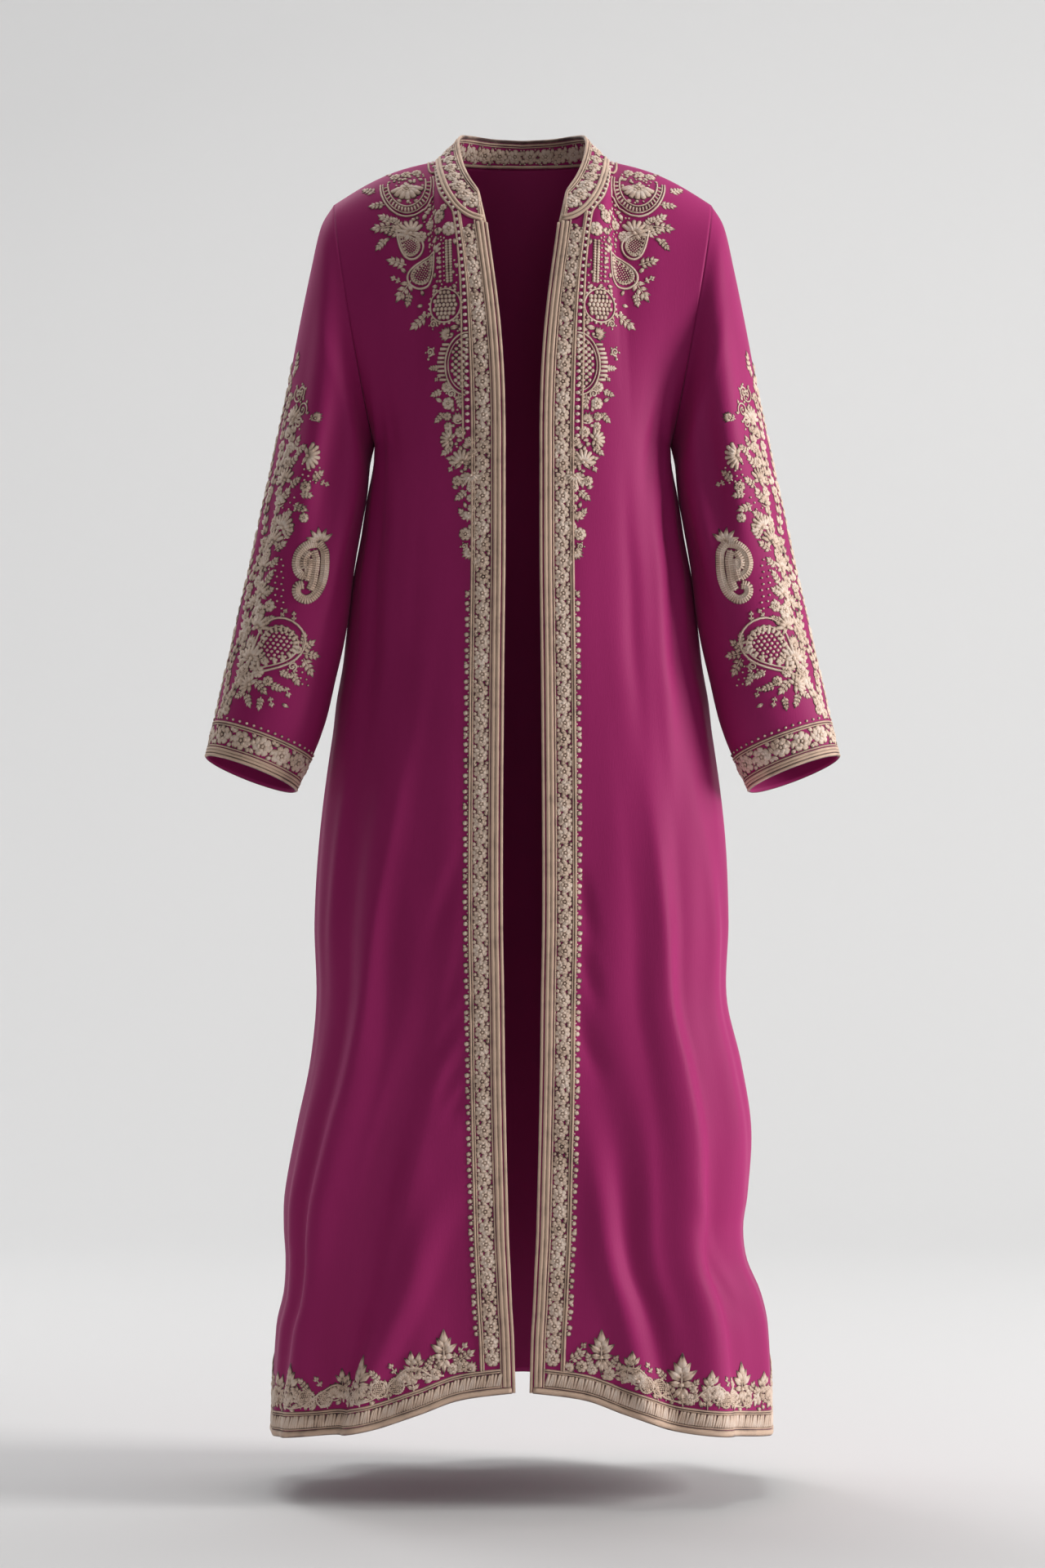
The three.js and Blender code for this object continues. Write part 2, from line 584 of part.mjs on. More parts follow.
function volumeOf(geometry) {
  const [place, index] = [geometry.attributes.position, geometry.index];
  const corner = (k) => new THREE.Vector3().fromBufferAttribute(place, index.getX(k));
  let volume = 0;
  for (let k = 0; k < index.count; k += 3) volume += corner(k).dot(corner(k + 1).cross(corner(k + 2))) / 6;
  return volume;
}

const kaftan = new THREE.Group();
function add(name, geometry, look) {
  geometry.computeVertexNormals();
  const mesh = new THREE.Mesh(geometry, new THREE.MeshStandardMaterial(look));
  mesh.name = name;
  kaftan.add(mesh);
}

// The sheets, made together so that their seams share points and normals
const sheets = {
  front_left: { rows: frontSheet(BODY.frontLeft), closed: false },
  front_right: { rows: frontSheet(BODY.frontRight), closed: false },
  back: { rows: backSheet(), closed: false },
  sleeve_left: { rows: sleeveSheet(BODY.frontLeft, BODY.backLeft), closed: true },
  sleeve_right: { rows: sleeveSheet(BODY.frontRight, BODY.backRight), closed: true },
};
sheets.collar = { rows: collarSheet(sheets.front_left.rows, sheets.back.rows, sheets.front_right.rows), closed: false };
for (const sheet of Object.values(sheets)) sheet.normals = normalsOf(sheet.rows, sheet.closed);
shareNormals(Object.values(sheets));
for (const sheet of Object.values(sheets)) pullBack(sheet);
for (const [name, sheet] of Object.entries(sheets)) {
  add(name, wall(sheet, 0, name === "collar" ? -COLLAR_CLOTH : -CLOTH), MAGENTA);
}

// Embroidered bands: down each front edge, along the hem, round each cuff, and the braid at the foot of the collar
for (const [side, edge, inner] of [
  ["left", 0, 1],
  ["right", -1, -2],
]) {
  const front = sheets[`front_${side}`];
  const across = edge === 0 ? [0, FRONT_BAND_STEPS + 1] : [-FRONT_BAND_STEPS - 1];
  const rest = edge === 0 ? [FRONT_BAND_STEPS] : [0, -FRONT_BAND_STEPS];
  add(`front_band_${side}`, band(front, [0], across), THREAD);
  add(`hem_band_${side}`, band(front, [0, 2], rest), THREAD);
  const [line, next] = [columnOf(front.rows, edge), columnOf(front.rows, inner)];
  add(`front_piping_${side}`, piping(line, columnOf(front.normals, edge), inwardSteps(line, next, false)), THREAD);
  add(`cuff_band_${side}`, band(sheets[`sleeve_${side}`], [-2], [0]), THREAD);
}
add("hem_band_back", band(sheets.back, [0, 2], [0]), THREAD);
add("collar_braid", band(sheets.collar, [0, 2], [0]), THREAD);

// One piping goes up one end of the collar, along its top and down the other end
function collarPiping({ rows, normals }) {
  const ends = [0, -1].map((i) => [columnOf(rows, i), columnOf(rows, i ? -2 : 1), columnOf(normals, i)]);
  const [first, last] = ends.map(([line, next, lineNormals]) => ({
    line,
    steps: inwardSteps(line, next, false),
    normals: lineNormals,
  }));
  const top = { line: rows.at(-1), steps: inwardSteps(rows.at(-1), rows.at(-2), false), normals: normals.at(-1) };
  top.steps[0].add(first.steps.at(-1));
  top.steps.at(-1).add(last.steps.at(-1));
  const join = (key) => [...first[key].slice(0, -1), ...top[key], ...last[key].slice(0, -1).reverse()];
  return piping(join("line"), join("normals"), join("steps"));
}
add("collar_piping", collarPiping(sheets.collar), THREAD);

export default kaftan;
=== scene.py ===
# %% [markdown]
# # An open-front kaftan in magenta crepe
# The garment is a long coat of light crepe with a small stand collar. Pale cord, braid and dense
# satin-stitch embroidery cover its edges, the shoulders, the chest and the outer side of the sleeves.
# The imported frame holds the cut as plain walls. Here each wall is replaced by a finer sheet worked out
# from the same tables, and the sewing is modelled on top of it.

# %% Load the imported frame
import math
from collections import namedtuple
import bpy
import numpy as np
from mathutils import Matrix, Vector
from mathutils.bvhtree import BVHTree


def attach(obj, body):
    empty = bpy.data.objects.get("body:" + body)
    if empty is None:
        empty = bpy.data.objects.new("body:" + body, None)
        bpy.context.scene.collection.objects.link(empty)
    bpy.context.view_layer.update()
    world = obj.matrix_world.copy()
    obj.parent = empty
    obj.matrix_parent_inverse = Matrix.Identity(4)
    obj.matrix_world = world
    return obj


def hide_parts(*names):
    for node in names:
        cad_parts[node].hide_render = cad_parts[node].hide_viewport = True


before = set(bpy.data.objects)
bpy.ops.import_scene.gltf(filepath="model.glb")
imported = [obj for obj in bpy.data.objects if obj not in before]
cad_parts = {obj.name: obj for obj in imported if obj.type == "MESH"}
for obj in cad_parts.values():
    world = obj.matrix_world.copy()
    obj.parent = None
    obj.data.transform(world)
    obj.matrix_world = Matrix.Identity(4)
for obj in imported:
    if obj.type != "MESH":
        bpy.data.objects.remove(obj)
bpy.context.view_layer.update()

MM = 0.001
print("frame:", len(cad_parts), "nodes")

# %% [markdown]
# ## Camera and studio
# The photograph is taken level, from about four metres, with its horizon at half of the picture's
# height. The camera stands on the middle plane of the garment. The floor lies a hand's breadth below the
# hem, where the photograph has its soft shadow, and it rolls up into a backdrop without an edge. The
# paper shows on its front alone, so the garment's back can be looked at through it.

# %% Camera
PHOTO_WIDTH, PHOTO_HEIGHT = 1280, 1920
LENS, SENSOR = 87.5, 36.0
CAMERA_AT = Vector((0.0, -4.2, -0.6768))
PIXELS_PER_UNIT = PHOTO_HEIGHT * LENS / SENSOR

camera_data = bpy.data.cameras.new("camera")
camera_data.lens = LENS
camera_data.sensor_width = SENSOR
camera = bpy.data.objects.new("camera", camera_data)
camera.location = CAMERA_AT
camera.rotation_euler = (math.radians(90), 0, 0)
bpy.context.scene.collection.objects.link(camera)
bpy.context.scene.camera = camera


def sight_line(pixel_x, pixel_y):
    """The direction from the camera through a pixel of the photograph."""
    across = (pixel_x - PHOTO_WIDTH / 2) / PIXELS_PER_UNIT
    down = (pixel_y - PHOTO_HEIGHT / 2) / PIXELS_PER_UNIT
    return Vector((across, 1.0, -down)).normalized()


# %% Floor and backdrop
FLOOR_Z = -1.452
STAGE_HALF, STAGE_FRONT, COVE_START, COVE_RADIUS, BACKDROP_TOP = 6.0, -7.0, 2.2, 1.6, 5.0
COVE_STEPS = 12


def backdrop_profile():
    """Points (y, z) from the front of the floor, round the cove and up the backdrop."""
    floor = [(STAGE_FRONT, FLOOR_Z), (COVE_START, FLOOR_Z)]
    cove = []
    for step in range(1, COVE_STEPS + 1):
        angle = math.radians(90 * step / COVE_STEPS)
        height = COVE_RADIUS * (1 - math.cos(angle))
        cove.append((COVE_START + COVE_RADIUS * math.sin(angle), FLOOR_Z + height))
    return floor + cove + [(COVE_START + COVE_RADIUS, BACKDROP_TOP)]


profile = backdrop_profile()
stage_mesh = bpy.data.meshes.new("studio")
stage_mesh.from_pydata(
    [(x, y, z) for y, z in profile for x in (-STAGE_HALF, STAGE_HALF)],
    [],
    [(2 * k, 2 * k + 1, 2 * k + 3, 2 * k + 2) for k in range(len(profile) - 1)],
)
studio = bpy.data.objects.new("studio", stage_mesh)
bpy.context.scene.collection.objects.link(studio)
for face in stage_mesh.polygons:
    face.use_smooth = True


def principled(name, **values):
    """A material with one Principled shader, its sockets set to the given values."""
    material = bpy.data.materials.new(name)
    material.use_nodes = True
    shader = material.node_tree.nodes["Principled BSDF"]
    for socket, value in values.items():
        shader.inputs[socket.replace("_", " ")].default_value = value
    return material, material.node_tree, shader


STUDIO_GREY = (0.72, 0.72, 0.72, 1)
stage_material, paper, paper_shader = principled("studio_paper", Base_Color=STUDIO_GREY, Roughness=0.9)
from_behind = paper.nodes.new("ShaderNodeNewGeometry").outputs["Backfacing"]
clear = paper.nodes.new("ShaderNodeBsdfTransparent")
one_sided = paper.nodes.new("ShaderNodeMixShader")
mixed = (from_behind, paper_shader.outputs["BSDF"], clear.outputs["BSDF"])
for output, socket in zip(mixed, one_sided.inputs):
    paper.links.new(output, socket)
paper.links.new(one_sided.outputs["Shader"], paper.nodes["Material Output"].inputs["Surface"])
stage_mesh.materials.append(stage_material)

# %% Lights
# name, place, aim, size, watts, colour
SOFTBOXES = [
    ("key", (4.3, -0.75, 0.4), (0.0, 0.0, -0.7), (1.2, 2.2), 190, (1.0, 0.985, 0.965)),
    ("front_fill", (0.6, -5.0, 0.6), (0.0, 0.0, -0.7), (2.4, 2.4), 9, (1.0, 0.99, 0.98)),
    ("top", (0.1, 0.5, 3.2), (0.0, 0.2, -0.6), (2.6, 2.0), 72, (1.0, 1.0, 1.0)),
    ("backdrop_left", (-2.6, 1.2, 0.6), (0.4, 3.8, -0.2), (1.2, 3.0), 23, (0.98, 0.99, 1.0)),
    ("backdrop_right", (2.6, 1.2, 0.6), (-0.4, 3.8, -0.2), (1.2, 3.0), 15, (0.98, 0.99, 1.0)),
    ("floor", (-1.4, 1.6, 1.6), (-0.4, 0.2, -1.45), (1.0, 1.0), 22, (1.0, 1.0, 1.0)),
]
for name, place, aim, (width, height), watts, colour in SOFTBOXES:
    light = bpy.data.lights.new(name, "AREA")
    light.shape = "RECTANGLE"
    light.size, light.size_y = width, height
    light.energy = watts
    light.color = colour
    lamp = bpy.data.objects.new(name, light)
    lamp.location = place
    lamp.rotation_euler = (Vector(aim) - Vector(place)).to_track_quat("-Z", "Y").to_euler()
    bpy.context.scene.collection.objects.link(lamp)

# A faint even light from everywhere stands for the white room
WORLD_STRENGTH = 0.13
world = bpy.data.worlds.new("studio_air")
world.use_nodes = True
world.node_tree.nodes["Background"].inputs["Color"].default_value = (1, 1, 1, 1)
world.node_tree.nodes["Background"].inputs["Strength"].default_value = WORLD_STRENGTH
bpy.context.scene.world = world
bpy.context.scene.view_settings.view_transform = "Standard"
print("lights:", len(SOFTBOXES))

# %% [markdown]
# ## The cut
# A table reads like a pattern maker's notes: a row for each height of the body, each ring of a sleeve or
# each fold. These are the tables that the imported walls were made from, in millimetres, so the fine sheets
# lie in the same place. Below the underarm the body is a set of cross-sections; above it each column of
# cloth is one curve that rolls over into the neck seam or the shoulder seam.

# %% Tables of the body
UNDERARM_Z = -305
SHOULDER_NECK = np.array([96.0, 0, 9])
SHOULDER_TIP = np.array([208.0, 0, -39])
SHOULDER_CROWN = 8
ARMHOLE_DEPTH = 80
SECTION_POWER = 0.87
EDGE_RECESS_REACH = 0.42
FRONT_BAND, HEM_BAND, CUFF_BAND = 34, 24, 40
COLLAR_LEAD = 1.6

# How each column of the upper body leaves the chest and arrives at the neck or shoulder seam
CHEST_LIFT, ARMPIT_LIFT = 118, 24
ARMHOLE_SPREAD, ARMHOLE_HOLLOW = 0.1, 0.8
NECK_REACH, ROLL_REACH = 64, 0.98
NECK_ARRIVAL = (0.12, 0.22, 0.97)
SHOULDER_ARRIVAL, SHOULDER_SLOPE = 0.93, 0.34
FRONT_NECK_TURN, FRONT_NECK_SLOPE = 0.4, 0.56
BACK_NECK_TURN, BACK_NECK_SLOPE = 0.42, 0.05

# Cross-sections of the body: half widths of both sides, depths, and the front edge's own place
BODY_SECTIONS = {
    "z": [-305, -340, -400, -448, -538, -592, -720, -826, -912, -983, -1055, -1127, -1163, -1199, -1235,
          -1271, -1390],
    "left": [163, 165, 172, 181, 192, 204, 222, 227, 225, 241, 252, 248, 243, 247, 262, 270, 275],
    "right": [163, 165, 172, 181, 192, 204, 222, 229, 227, 234, 249, 262, 263, 261, 263, 271, 277],
    "front": [106, 107, 108, 109, 112, 114, 121, 127, 131, 134, 138, 142, 144, 146, 148, 150, 156],
    "back": [108, 105, 101, 100, 103, 107, 120, 130, 138, 144, 151, 158, 161, 164, 167, 171, 182],
    "edge_x": [21.6, 21.6, 21.6, 21.8, 22.9, 23.4, 24.3, 24.3, 22.9, 22, 20.6, 18.8, 17.8, 16, 14.4,
               12.3, 9.5],
    "edge_y": [106, 107, 108, 109, 112, 114, 119, 123, 125, 126, 127, 128, 129, 130, 130, 131, 133],
}
FRONT_HEM = {
    "turn": [0, 0.12, 0.22, 0.38, 0.58, 0.8, 1],
    "z": [-1327, -1335, -1350, -1369, -1378, -1385, -1387],
}
BACK_HEM = {"turn": [0, 0.35, 0.7, 1], "z": [-1353, -1360, -1376, -1386]}

# from_z, from_turn, hem_turn, width, rise
LEFT_FRONT_FOLDS = [
    (-400, 0.29, 0.51, 0.12, 13),
    (-860, 0.11, 0.34, 0.1, -10),
    (-960, 0.06, 0.3, 0.09, 8),
    (-600, 0.44, 0.66, 0.11, -5),
    (-560, 0.6, 0.84, 0.11, 6),
]
RIGHT_FRONT_FOLDS = [
    (-400, 0.26, 0.66, 0.12, 15),
    (-760, 0.12, 0.52, 0.11, -13),
    (-1050, 0.06, 0.42, 0.09, 8),
    (-560, 0.58, 0.8, 0.11, 6),
]
BACK_FOLDS = [
    (-360, 0, 0, 0.15, 12),
    (-420, 0.2, 0.22, 0.14, -11),
    (-330, 0.41, 0.43, 0.16, 14),
    (-520, 0.61, 0.63, 0.14, -11),
    (-600, 0.8, 0.81, 0.14, 9),
]
FRONT_NECK = [(41, -77, -69), (56, -76, -65), (71, -71, -55), (85, -58, -35), (93.5, -35, -11), (96, 0, 9)]
BACK_NECK = [(0, 84, 13), (42, 78, 13), (76, 57, 13), (91, 29, 11.5), (96, 0, 9)]
COLLAR_TOP_FRONT = [(49, -58, -31), (59, -45, -15), (66, -27, 2), (70, -10, 18), (72, 8, 33)]
COLLAR_TOP_BACK = [(0, 84, 44), (34, 78, 45), (57, 58, 45.5), (69, 32, 42), (72, 8, 33)]

# %% Smooth reading of a table and of a curve


def smooth(share):
    share = np.clip(share, 0, 1)
    return share**2 * (3 - 2 * share)


def swell(share):
    """A soft hump: 1 in the middle, 0 from -1 outwards and from 1 outwards."""
    return np.where(np.abs(share) < 1, np.cos(np.clip(share, -1, 1) * np.pi / 2) ** 2, 0)


def read(table, key, at, column):
    """Smooth values of a table's column at places along its key column."""
    keys, values = np.array(table[key], float), np.array(table[column], float)
    if keys[0] > keys[-1]:
        keys, values = keys[::-1], values[::-1]
    before, after = np.r_[0, 0 : len(keys) - 1], np.r_[1 : len(keys), len(keys) - 1]
    slopes = (values[after] - values[before]) / (keys[after] - keys[before])
    at = np.clip(np.asarray(at, float), keys[0], keys[-1])
    i = np.clip(np.searchsorted(keys, at, side="right") - 1, 0, len(keys) - 2)
    span = keys[i + 1] - keys[i]
    t = (at - keys[i]) / span
    start = (2 * t**3 - 3 * t**2 + 1) * values[i] + (t**3 - 2 * t**2 + t) * span * slopes[i]
    end = (3 * t**2 - 2 * t**3) * values[i + 1] + (t**3 - t**2) * span * slopes[i + 1]
    return start + end


def catmull_rom(points, per_span=24):
    """A dense line through the points, as the centripetal curve that the walls were cut along."""
    points = [np.array(p, float) for p in points]
    points = [2 * points[0] - points[1], *points, 2 * points[-1] - points[-2]]
    line = []
    for p0, p1, p2, p3 in zip(points, points[1:], points[2:], points[3:]):
        knots = np.cumsum([0] + [np.linalg.norm(b - a) ** 0.5 for a, b in ((p0, p1), (p1, p2), (p2, p3))])
        for t in np.linspace(knots[1], knots[2], per_span, endpoint=False):
            a1 = ((knots[1] - t) * p0 + t * p1) / knots[1]
            a2 = ((knots[2] - t) * p1 + (t - knots[1]) * p2) / (knots[2] - knots[1])
            a3 = ((knots[3] - t) * p2 + (t - knots[2]) * p3) / (knots[3] - knots[2])
            b1 = ((knots[2] - t) * a1 + t * a2) / knots[2]
            b2 = ((knots[3] - t) * a2 + (t - knots[1]) * a3) / (knots[3] - knots[1])
            line.append(((knots[2] - t) * b1 + (t - knots[1]) * b2) / (knots[2] - knots[1]))
    return np.array(line + [points[-2]])


def lengths_along(line):
    """The length run at each point of a line, or of each line in a grid of lines."""
    steps = np.linalg.norm(np.diff(line, axis=-2), axis=-1)
    return np.concatenate([np.zeros_like(steps[..., :1]), np.cumsum(steps, axis=-1)], axis=-1)


def at_share(line, share):
    """Points of a line at shares of its length."""
    run = lengths_along(line)
    return np.stack([np.interp(np.asarray(share) * run[-1], run, line[:, k]) for k in range(3)], axis=-1)


front_neck, back_neck = catmull_rom(FRONT_NECK), catmull_rom(BACK_NECK)
collar_top_front, collar_top_back = catmull_rom(COLLAR_TOP_FRONT), catmull_rom(COLLAR_TOP_BACK)
print("neck seam, front half:", round(float(lengths_along(front_neck)[-1])), "mm")

# %% [markdown]
# ## Soft folds
# The large folds are in the tables above. A real crepe also has shallow pulls beside the stiff border and
# faint waves between the folds. They could be simulated, but then they would fall in other places at
# every change. A short table of creases keeps each one where the photograph has it. At the
# body's sides the cloth also eases outwards, and the sleeve's towards it, because in the photograph no
# light comes through between the two.

# %% Creases
# side (L is +X), turn, z, degrees from upright, length, width, rise
FRONT_CREASES = [
    ("L", 0.118, -808, -10, 100, 8, -3.0),
    ("L", 0.133, -880, -18, 80, 8, -3.2),
    ("L", 0.13, -958, -18, 90, 9, -3.2),
    ("L", 0.7, -820, -11, 320, 18, 3.0),
    ("L", 0.6, -1180, -31, 200, 13, 3.6),
    ("L", 0.66, -1215, -28, 170, 20, -3.0),
    ("L", 0.42, -910, -6, 520, 9, 2.2),
    ("R", 0.155, -799, -18, 130, 10, -3.0),
    ("R", 0.139, -895, -16, 100, 8, -2.6),
    ("R", 0.148, -941, -30, 90, 8, -3.2),
    ("R", 0.138, -991, -27, 80, 8, -3.0),
    ("R", 0.115, -1017, -27, 60, 7, -2.6),
    ("R", 0.645, -745, -6, 340, 16, 3.0),
    ("R", 0.43, -860, -10, 520, 9, 2.4),
    ("R", 0.58, -1190, -12, 260, 16, 2.6),
    ("R", 0.62, -300, 30, 150, 14, -2.0),
    ("L", 0.62, -300, 30, 150, 14, -2.0),
    ("R", 0.74, -340, 36, 120, 12, 1.8),
    ("L", 0.74, -340, 36, 120, 12, 1.8),
    ("R", 0.8, -400, 8, 340, 15, 3.4),
    ("R", 0.66, -440, 10, 420, 15, -3.4),
    ("R", 0.5, -520, 8, 440, 16, 3.2),
    ("R", 0.36, -520, 4, 400, 14, -2.6),
    ("L", 0.8, -400, 8, 340, 15, 3.2),
    ("L", 0.67, -450, 9, 420, 15, -3.2),
    ("L", 0.52, -540, 7, 440, 16, 3.0),
    ("L", 0.37, -500, 4, 360, 14, -2.4),
]
BACK_CREASES = [
    ("R", 0.3, -420, 0, 380, 26, 2.6),
    ("L", 0.34, -460, 2, 420, 26, 2.6),
    ("R", 0.6, -330, -24, 180, 18, -2.2),
    ("L", 0.6, -330, -24, 180, 18, -2.2),
    ("R", 0.1, -800, -3, 500, 26, -3.0),
    ("L", 0.12, -860, 3, 460, 26, 2.6),
    ("R", 0.52, -950, 2, 440, 28, 3.0),
    ("L", 0.5, -900, -2, 480, 28, -3.0),
    ("R", 0.74, -700, 4, 380, 22, -2.4),
    ("L", 0.72, -760, 4, 380, 22, -2.4),
]
PANEL_ARC = 330.0


def crease_rise(creases, side, turn, z):
    """Height of the creases of one side at a turn and a height."""
    rise = np.zeros(np.broadcast(turn, z).shape)
    for crease_side, at_turn, at_z, degrees, length, width, height in creases:
        if crease_side != side:
            continue
        angle = math.radians(degrees)
        across, up = (turn - at_turn) * PANEL_ARC, z - at_z
        along = up * math.cos(angle) + across * math.sin(angle)
        aside = across * math.cos(angle) - up * math.sin(angle)
        rise += height * np.exp(-((aside / width) ** 2)) * swell(along / (0.6 * length))
    return rise


def faint_waves(turn, z, seed):
    """Shallow long waves that keep a large plain area from looking pressed."""
    grown = smooth((UNDERARM_Z + 60 - z) / 500)
    waves = np.sin(turn * 21 + z * 0.0042 + seed) + 0.6 * np.sin(turn * 37 - z * 0.0061 + 2.3 * seed)
    return 0.75 * waves * grown * smooth(turn / 0.12)


# %% [markdown]
# ## The body's panels
# Each quarter of the body is a grid: the turn runs from the front edge, or from the middle of the back, to
# the side seam, and the rows run from the hem to the neck and shoulder seams. Numpy works a whole grid out
# at once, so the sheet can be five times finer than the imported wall.

# %% One quarter of the body
Quarter = namedtuple("Quarter", "side width folds creases hem front neck neck_turn neck_slope")
FRONT = (FRONT_CREASES, FRONT_HEM, True, front_neck, FRONT_NECK_TURN, FRONT_NECK_SLOPE)
BACK = (BACK_CREASES, BACK_HEM, False, back_neck, BACK_NECK_TURN, BACK_NECK_SLOPE)
QUARTERS = {
    "front_left": Quarter("L", "left", LEFT_FRONT_FOLDS, *FRONT),
    "front_right": Quarter("R", "right", RIGHT_FRONT_FOLDS, *FRONT),
    "back_left": Quarter("L", "left", BACK_FOLDS, *BACK),
    "back_right": Quarter("R", "right", BACK_FOLDS, *BACK),
}


# How far the cloth eases out at the body's sides and at the sleeves' inner sides, where the two meet
SIDE_EASE = {
    "z": [-620, -575, -520, -440, -370, -325],
    "body": [0, 2.5, 5.5, 5, 4.5, 0],
    "sleeve": [0, 2.5, 5.5, 5, 4, 0],
}


def fold_rise(folds, turn, z, hem_z):
    rise = 0
    for from_z, from_turn, hem_turn, width, height in folds:
        grown = np.clip((from_z - z) / (from_z - hem_z), 0, 1)
        middle = from_turn + (hem_turn - from_turn) * grown
        rise = rise + height * smooth(grown * 1.25) * swell((turn - middle) / width)
    return rise


def lower_points(quarter, turn, z):
    """Points of a quarter below the underarm, on the side of +X."""
    turn, z = np.broadcast_arrays(np.asarray(turn, float), np.asarray(z, float))
    half = read(BODY_SECTIONS, "z", z, quarter.width)
    depth = read(BODY_SECTIONS, "z", z, "front" if quarter.front else "back")
    edge = read(BODY_SECTIONS, "z", z, "edge_x") if quarter.front else np.zeros_like(z)
    first = np.arcsin((edge / half) ** (1 / SECTION_POWER))
    angle = first + (np.pi / 2 - first) * turn
    recess = 0
    if quarter.front:
        recess = (depth - read(BODY_SECTIONS, "z", z, "edge_y")) * (1 - smooth(turn / EDGE_RECESS_REACH))
    cosine = np.maximum(0, np.cos(angle)) ** SECTION_POWER
    rise = fold_rise(quarter.folds, turn, z, read(quarter.hem, "turn", turn, "z"))
    x = half * np.sin(angle) ** SECTION_POWER + rise * np.sin(angle) * smooth((1 - turn) / 0.25)
    x = x + read(SIDE_EASE, "z", z, "body") * smooth((turn - 0.75) / 0.25)
    away = depth * cosine - recess + rise * np.cos(angle)
    return np.stack([x, -away if quarter.front else away, z], axis=-1)


def top_points(quarter, turn):
    """The neck seam and the shoulder seam as one line."""
    on_neck = at_share(quarter.neck, np.clip(turn / quarter.neck_turn, 0, 1))
    share = np.clip((turn - quarter.neck_turn) / (1 - quarter.neck_turn), 0, 1)[..., None]
    on_shoulder = SHOULDER_NECK + (SHOULDER_TIP - SHOULDER_NECK) * share
    on_shoulder = on_shoulder + np.array([0, 0, SHOULDER_CROWN]) * np.sin(np.pi * share)
    return np.where((turn <= quarter.neck_turn)[..., None], on_neck, on_shoulder)


def unit(vectors):
    return vectors / np.maximum(np.linalg.norm(vectors, axis=-1, keepdims=True), 1e-9)


def upper_points(quarter, turn, rise):
    """Points above the underarm: each turn is one Bezier curve up to its point on the top line."""
    way = -1 if quarter.front else 1
    start = lower_points(quarter, turn, np.full_like(turn, UNDERARM_Z))
    top = top_points(quarter, turn)
    upwards = unit(start - lower_points(quarter, turn, np.full_like(turn, UNDERARM_Z - 12)))
    hollow = np.maximum(0, ARMHOLE_DEPTH - np.abs(start[..., 1]))
    lift = CHEST_LIFT + (ARMPIT_LIFT - CHEST_LIFT) * smooth((turn - 0.5) / 0.5)
    leave = start + upwards * lift[..., None]
    leave[..., 0] += hollow * ARMHOLE_SPREAD
    leave[..., 1] += hollow * ARMHOLE_HOLLOW * way
    roll = smooth(turn / quarter.neck_turn)
    ones = np.ones_like(turn)
    sideways = ones if quarter.front else roll * (1 - roll)
    aside, inwards, upright = NECK_ARRIVAL
    up = np.stack([aside * sideways, -inwards * way * ones, upright * ones], axis=-1)
    past_neck = smooth((turn - quarter.neck_turn) / 0.3)
    slope = quarter.neck_slope + (SHOULDER_SLOPE - quarter.neck_slope) * past_neck
    over = np.stack([0 * ones, -SHOULDER_ARRIVAL * way * ones, slope], axis=-1)
    arrive = unit(up + (over - up) * roll[..., None])
    reach = np.maximum(np.abs(start[..., 1]), ARMHOLE_DEPTH) - np.abs(top[..., 1])
    before = top - arrive * (NECK_REACH + (ROLL_REACH * reach - NECK_REACH) * roll)[..., None]
    t = rise[..., None]
    return (1 - t) ** 3 * start + 3 * (1 - t) ** 2 * t * leave + 3 * (1 - t) * t**2 * before + t**3 * top


# %% The grid of a quarter
BAND_STEPS, NECK_STEPS, SHOULDER_STEPS = 8, 26, 44
HEM_ROWS, LOWER_ROWS, UPPER_ROWS = 4, 120, 56


def quarter_rows(quarter):
    """For each row of the grid, a function from turns to points."""
    band_share = HEM_BAND / (UNDERARM_Z - FRONT_HEM["z"][0])
    shares = [*np.linspace(0, band_share, HEM_ROWS, endpoint=False), *np.linspace(band_share, 1, LOWER_ROWS)]

    def below(share):
        def row(turn):
            hem = read(quarter.hem, "turn", turn, "z")
            return lower_points(quarter, turn, hem + (UNDERARM_Z - hem) * share)

        return row

    def above(share):
        return lambda turn: upper_points(quarter, turn, np.full_like(turn, share))

    return [below(s) for s in shares] + [above(s) for s in np.linspace(0, 1, UPPER_ROWS + 1)[1:]]


def quarter_grid(quarter):
    """Rows of points, and the turn of each point."""
    probe = np.linspace(0, 1, 260)
    points, turns = [], []
    for row in quarter_rows(quarter):
        band_turn = 0.0
        if quarter.front:
            run = lengths_along(row(probe))
            band_turn = float(np.interp(FRONT_BAND, run, probe))
        band = np.linspace(0, band_turn, BAND_STEPS, endpoint=False) if quarter.front else np.array([])
        neck = np.linspace(band_turn, quarter.neck_turn, NECK_STEPS, endpoint=False)
        turn = np.r_[band, neck, np.linspace(quarter.neck_turn, 1, SHOULDER_STEPS)]
        points.append(row(turn))
        turns.append(turn)
    return np.array(points), np.array(turns)


def grid_normals(points, closed):
    """Outward unit normals from the steps to the neighbours of each point."""
    if closed:
        across = np.roll(points, -1, axis=1) - np.roll(points, 1, axis=1)
    else:
        across = np.gradient(points, axis=1)
    return unit(np.cross(across, np.gradient(points, axis=0)))


def add_soft_detail(quarter, points, turns):
    """Creases and faint waves, along the quarter's own outward direction."""
    outward = grid_normals(points, False) * (1 if quarter.front else -1)
    z = points[..., 2]
    seed = {"L": 0.4, "R": 1.9}[quarter.side] + (0 if quarter.front else 3.1)
    rise = crease_rise(quarter.creases, quarter.side, turns, z) + faint_waves(turns, z, seed)
    kept = smooth((1 - turns) / 0.12) * smooth((z - read(quarter.hem, "turn", turns, "z")) / 40 + 0.25)
    kept = kept * smooth((turns - 0.03) / 0.07)
    return points + outward * (rise * kept)[..., None]


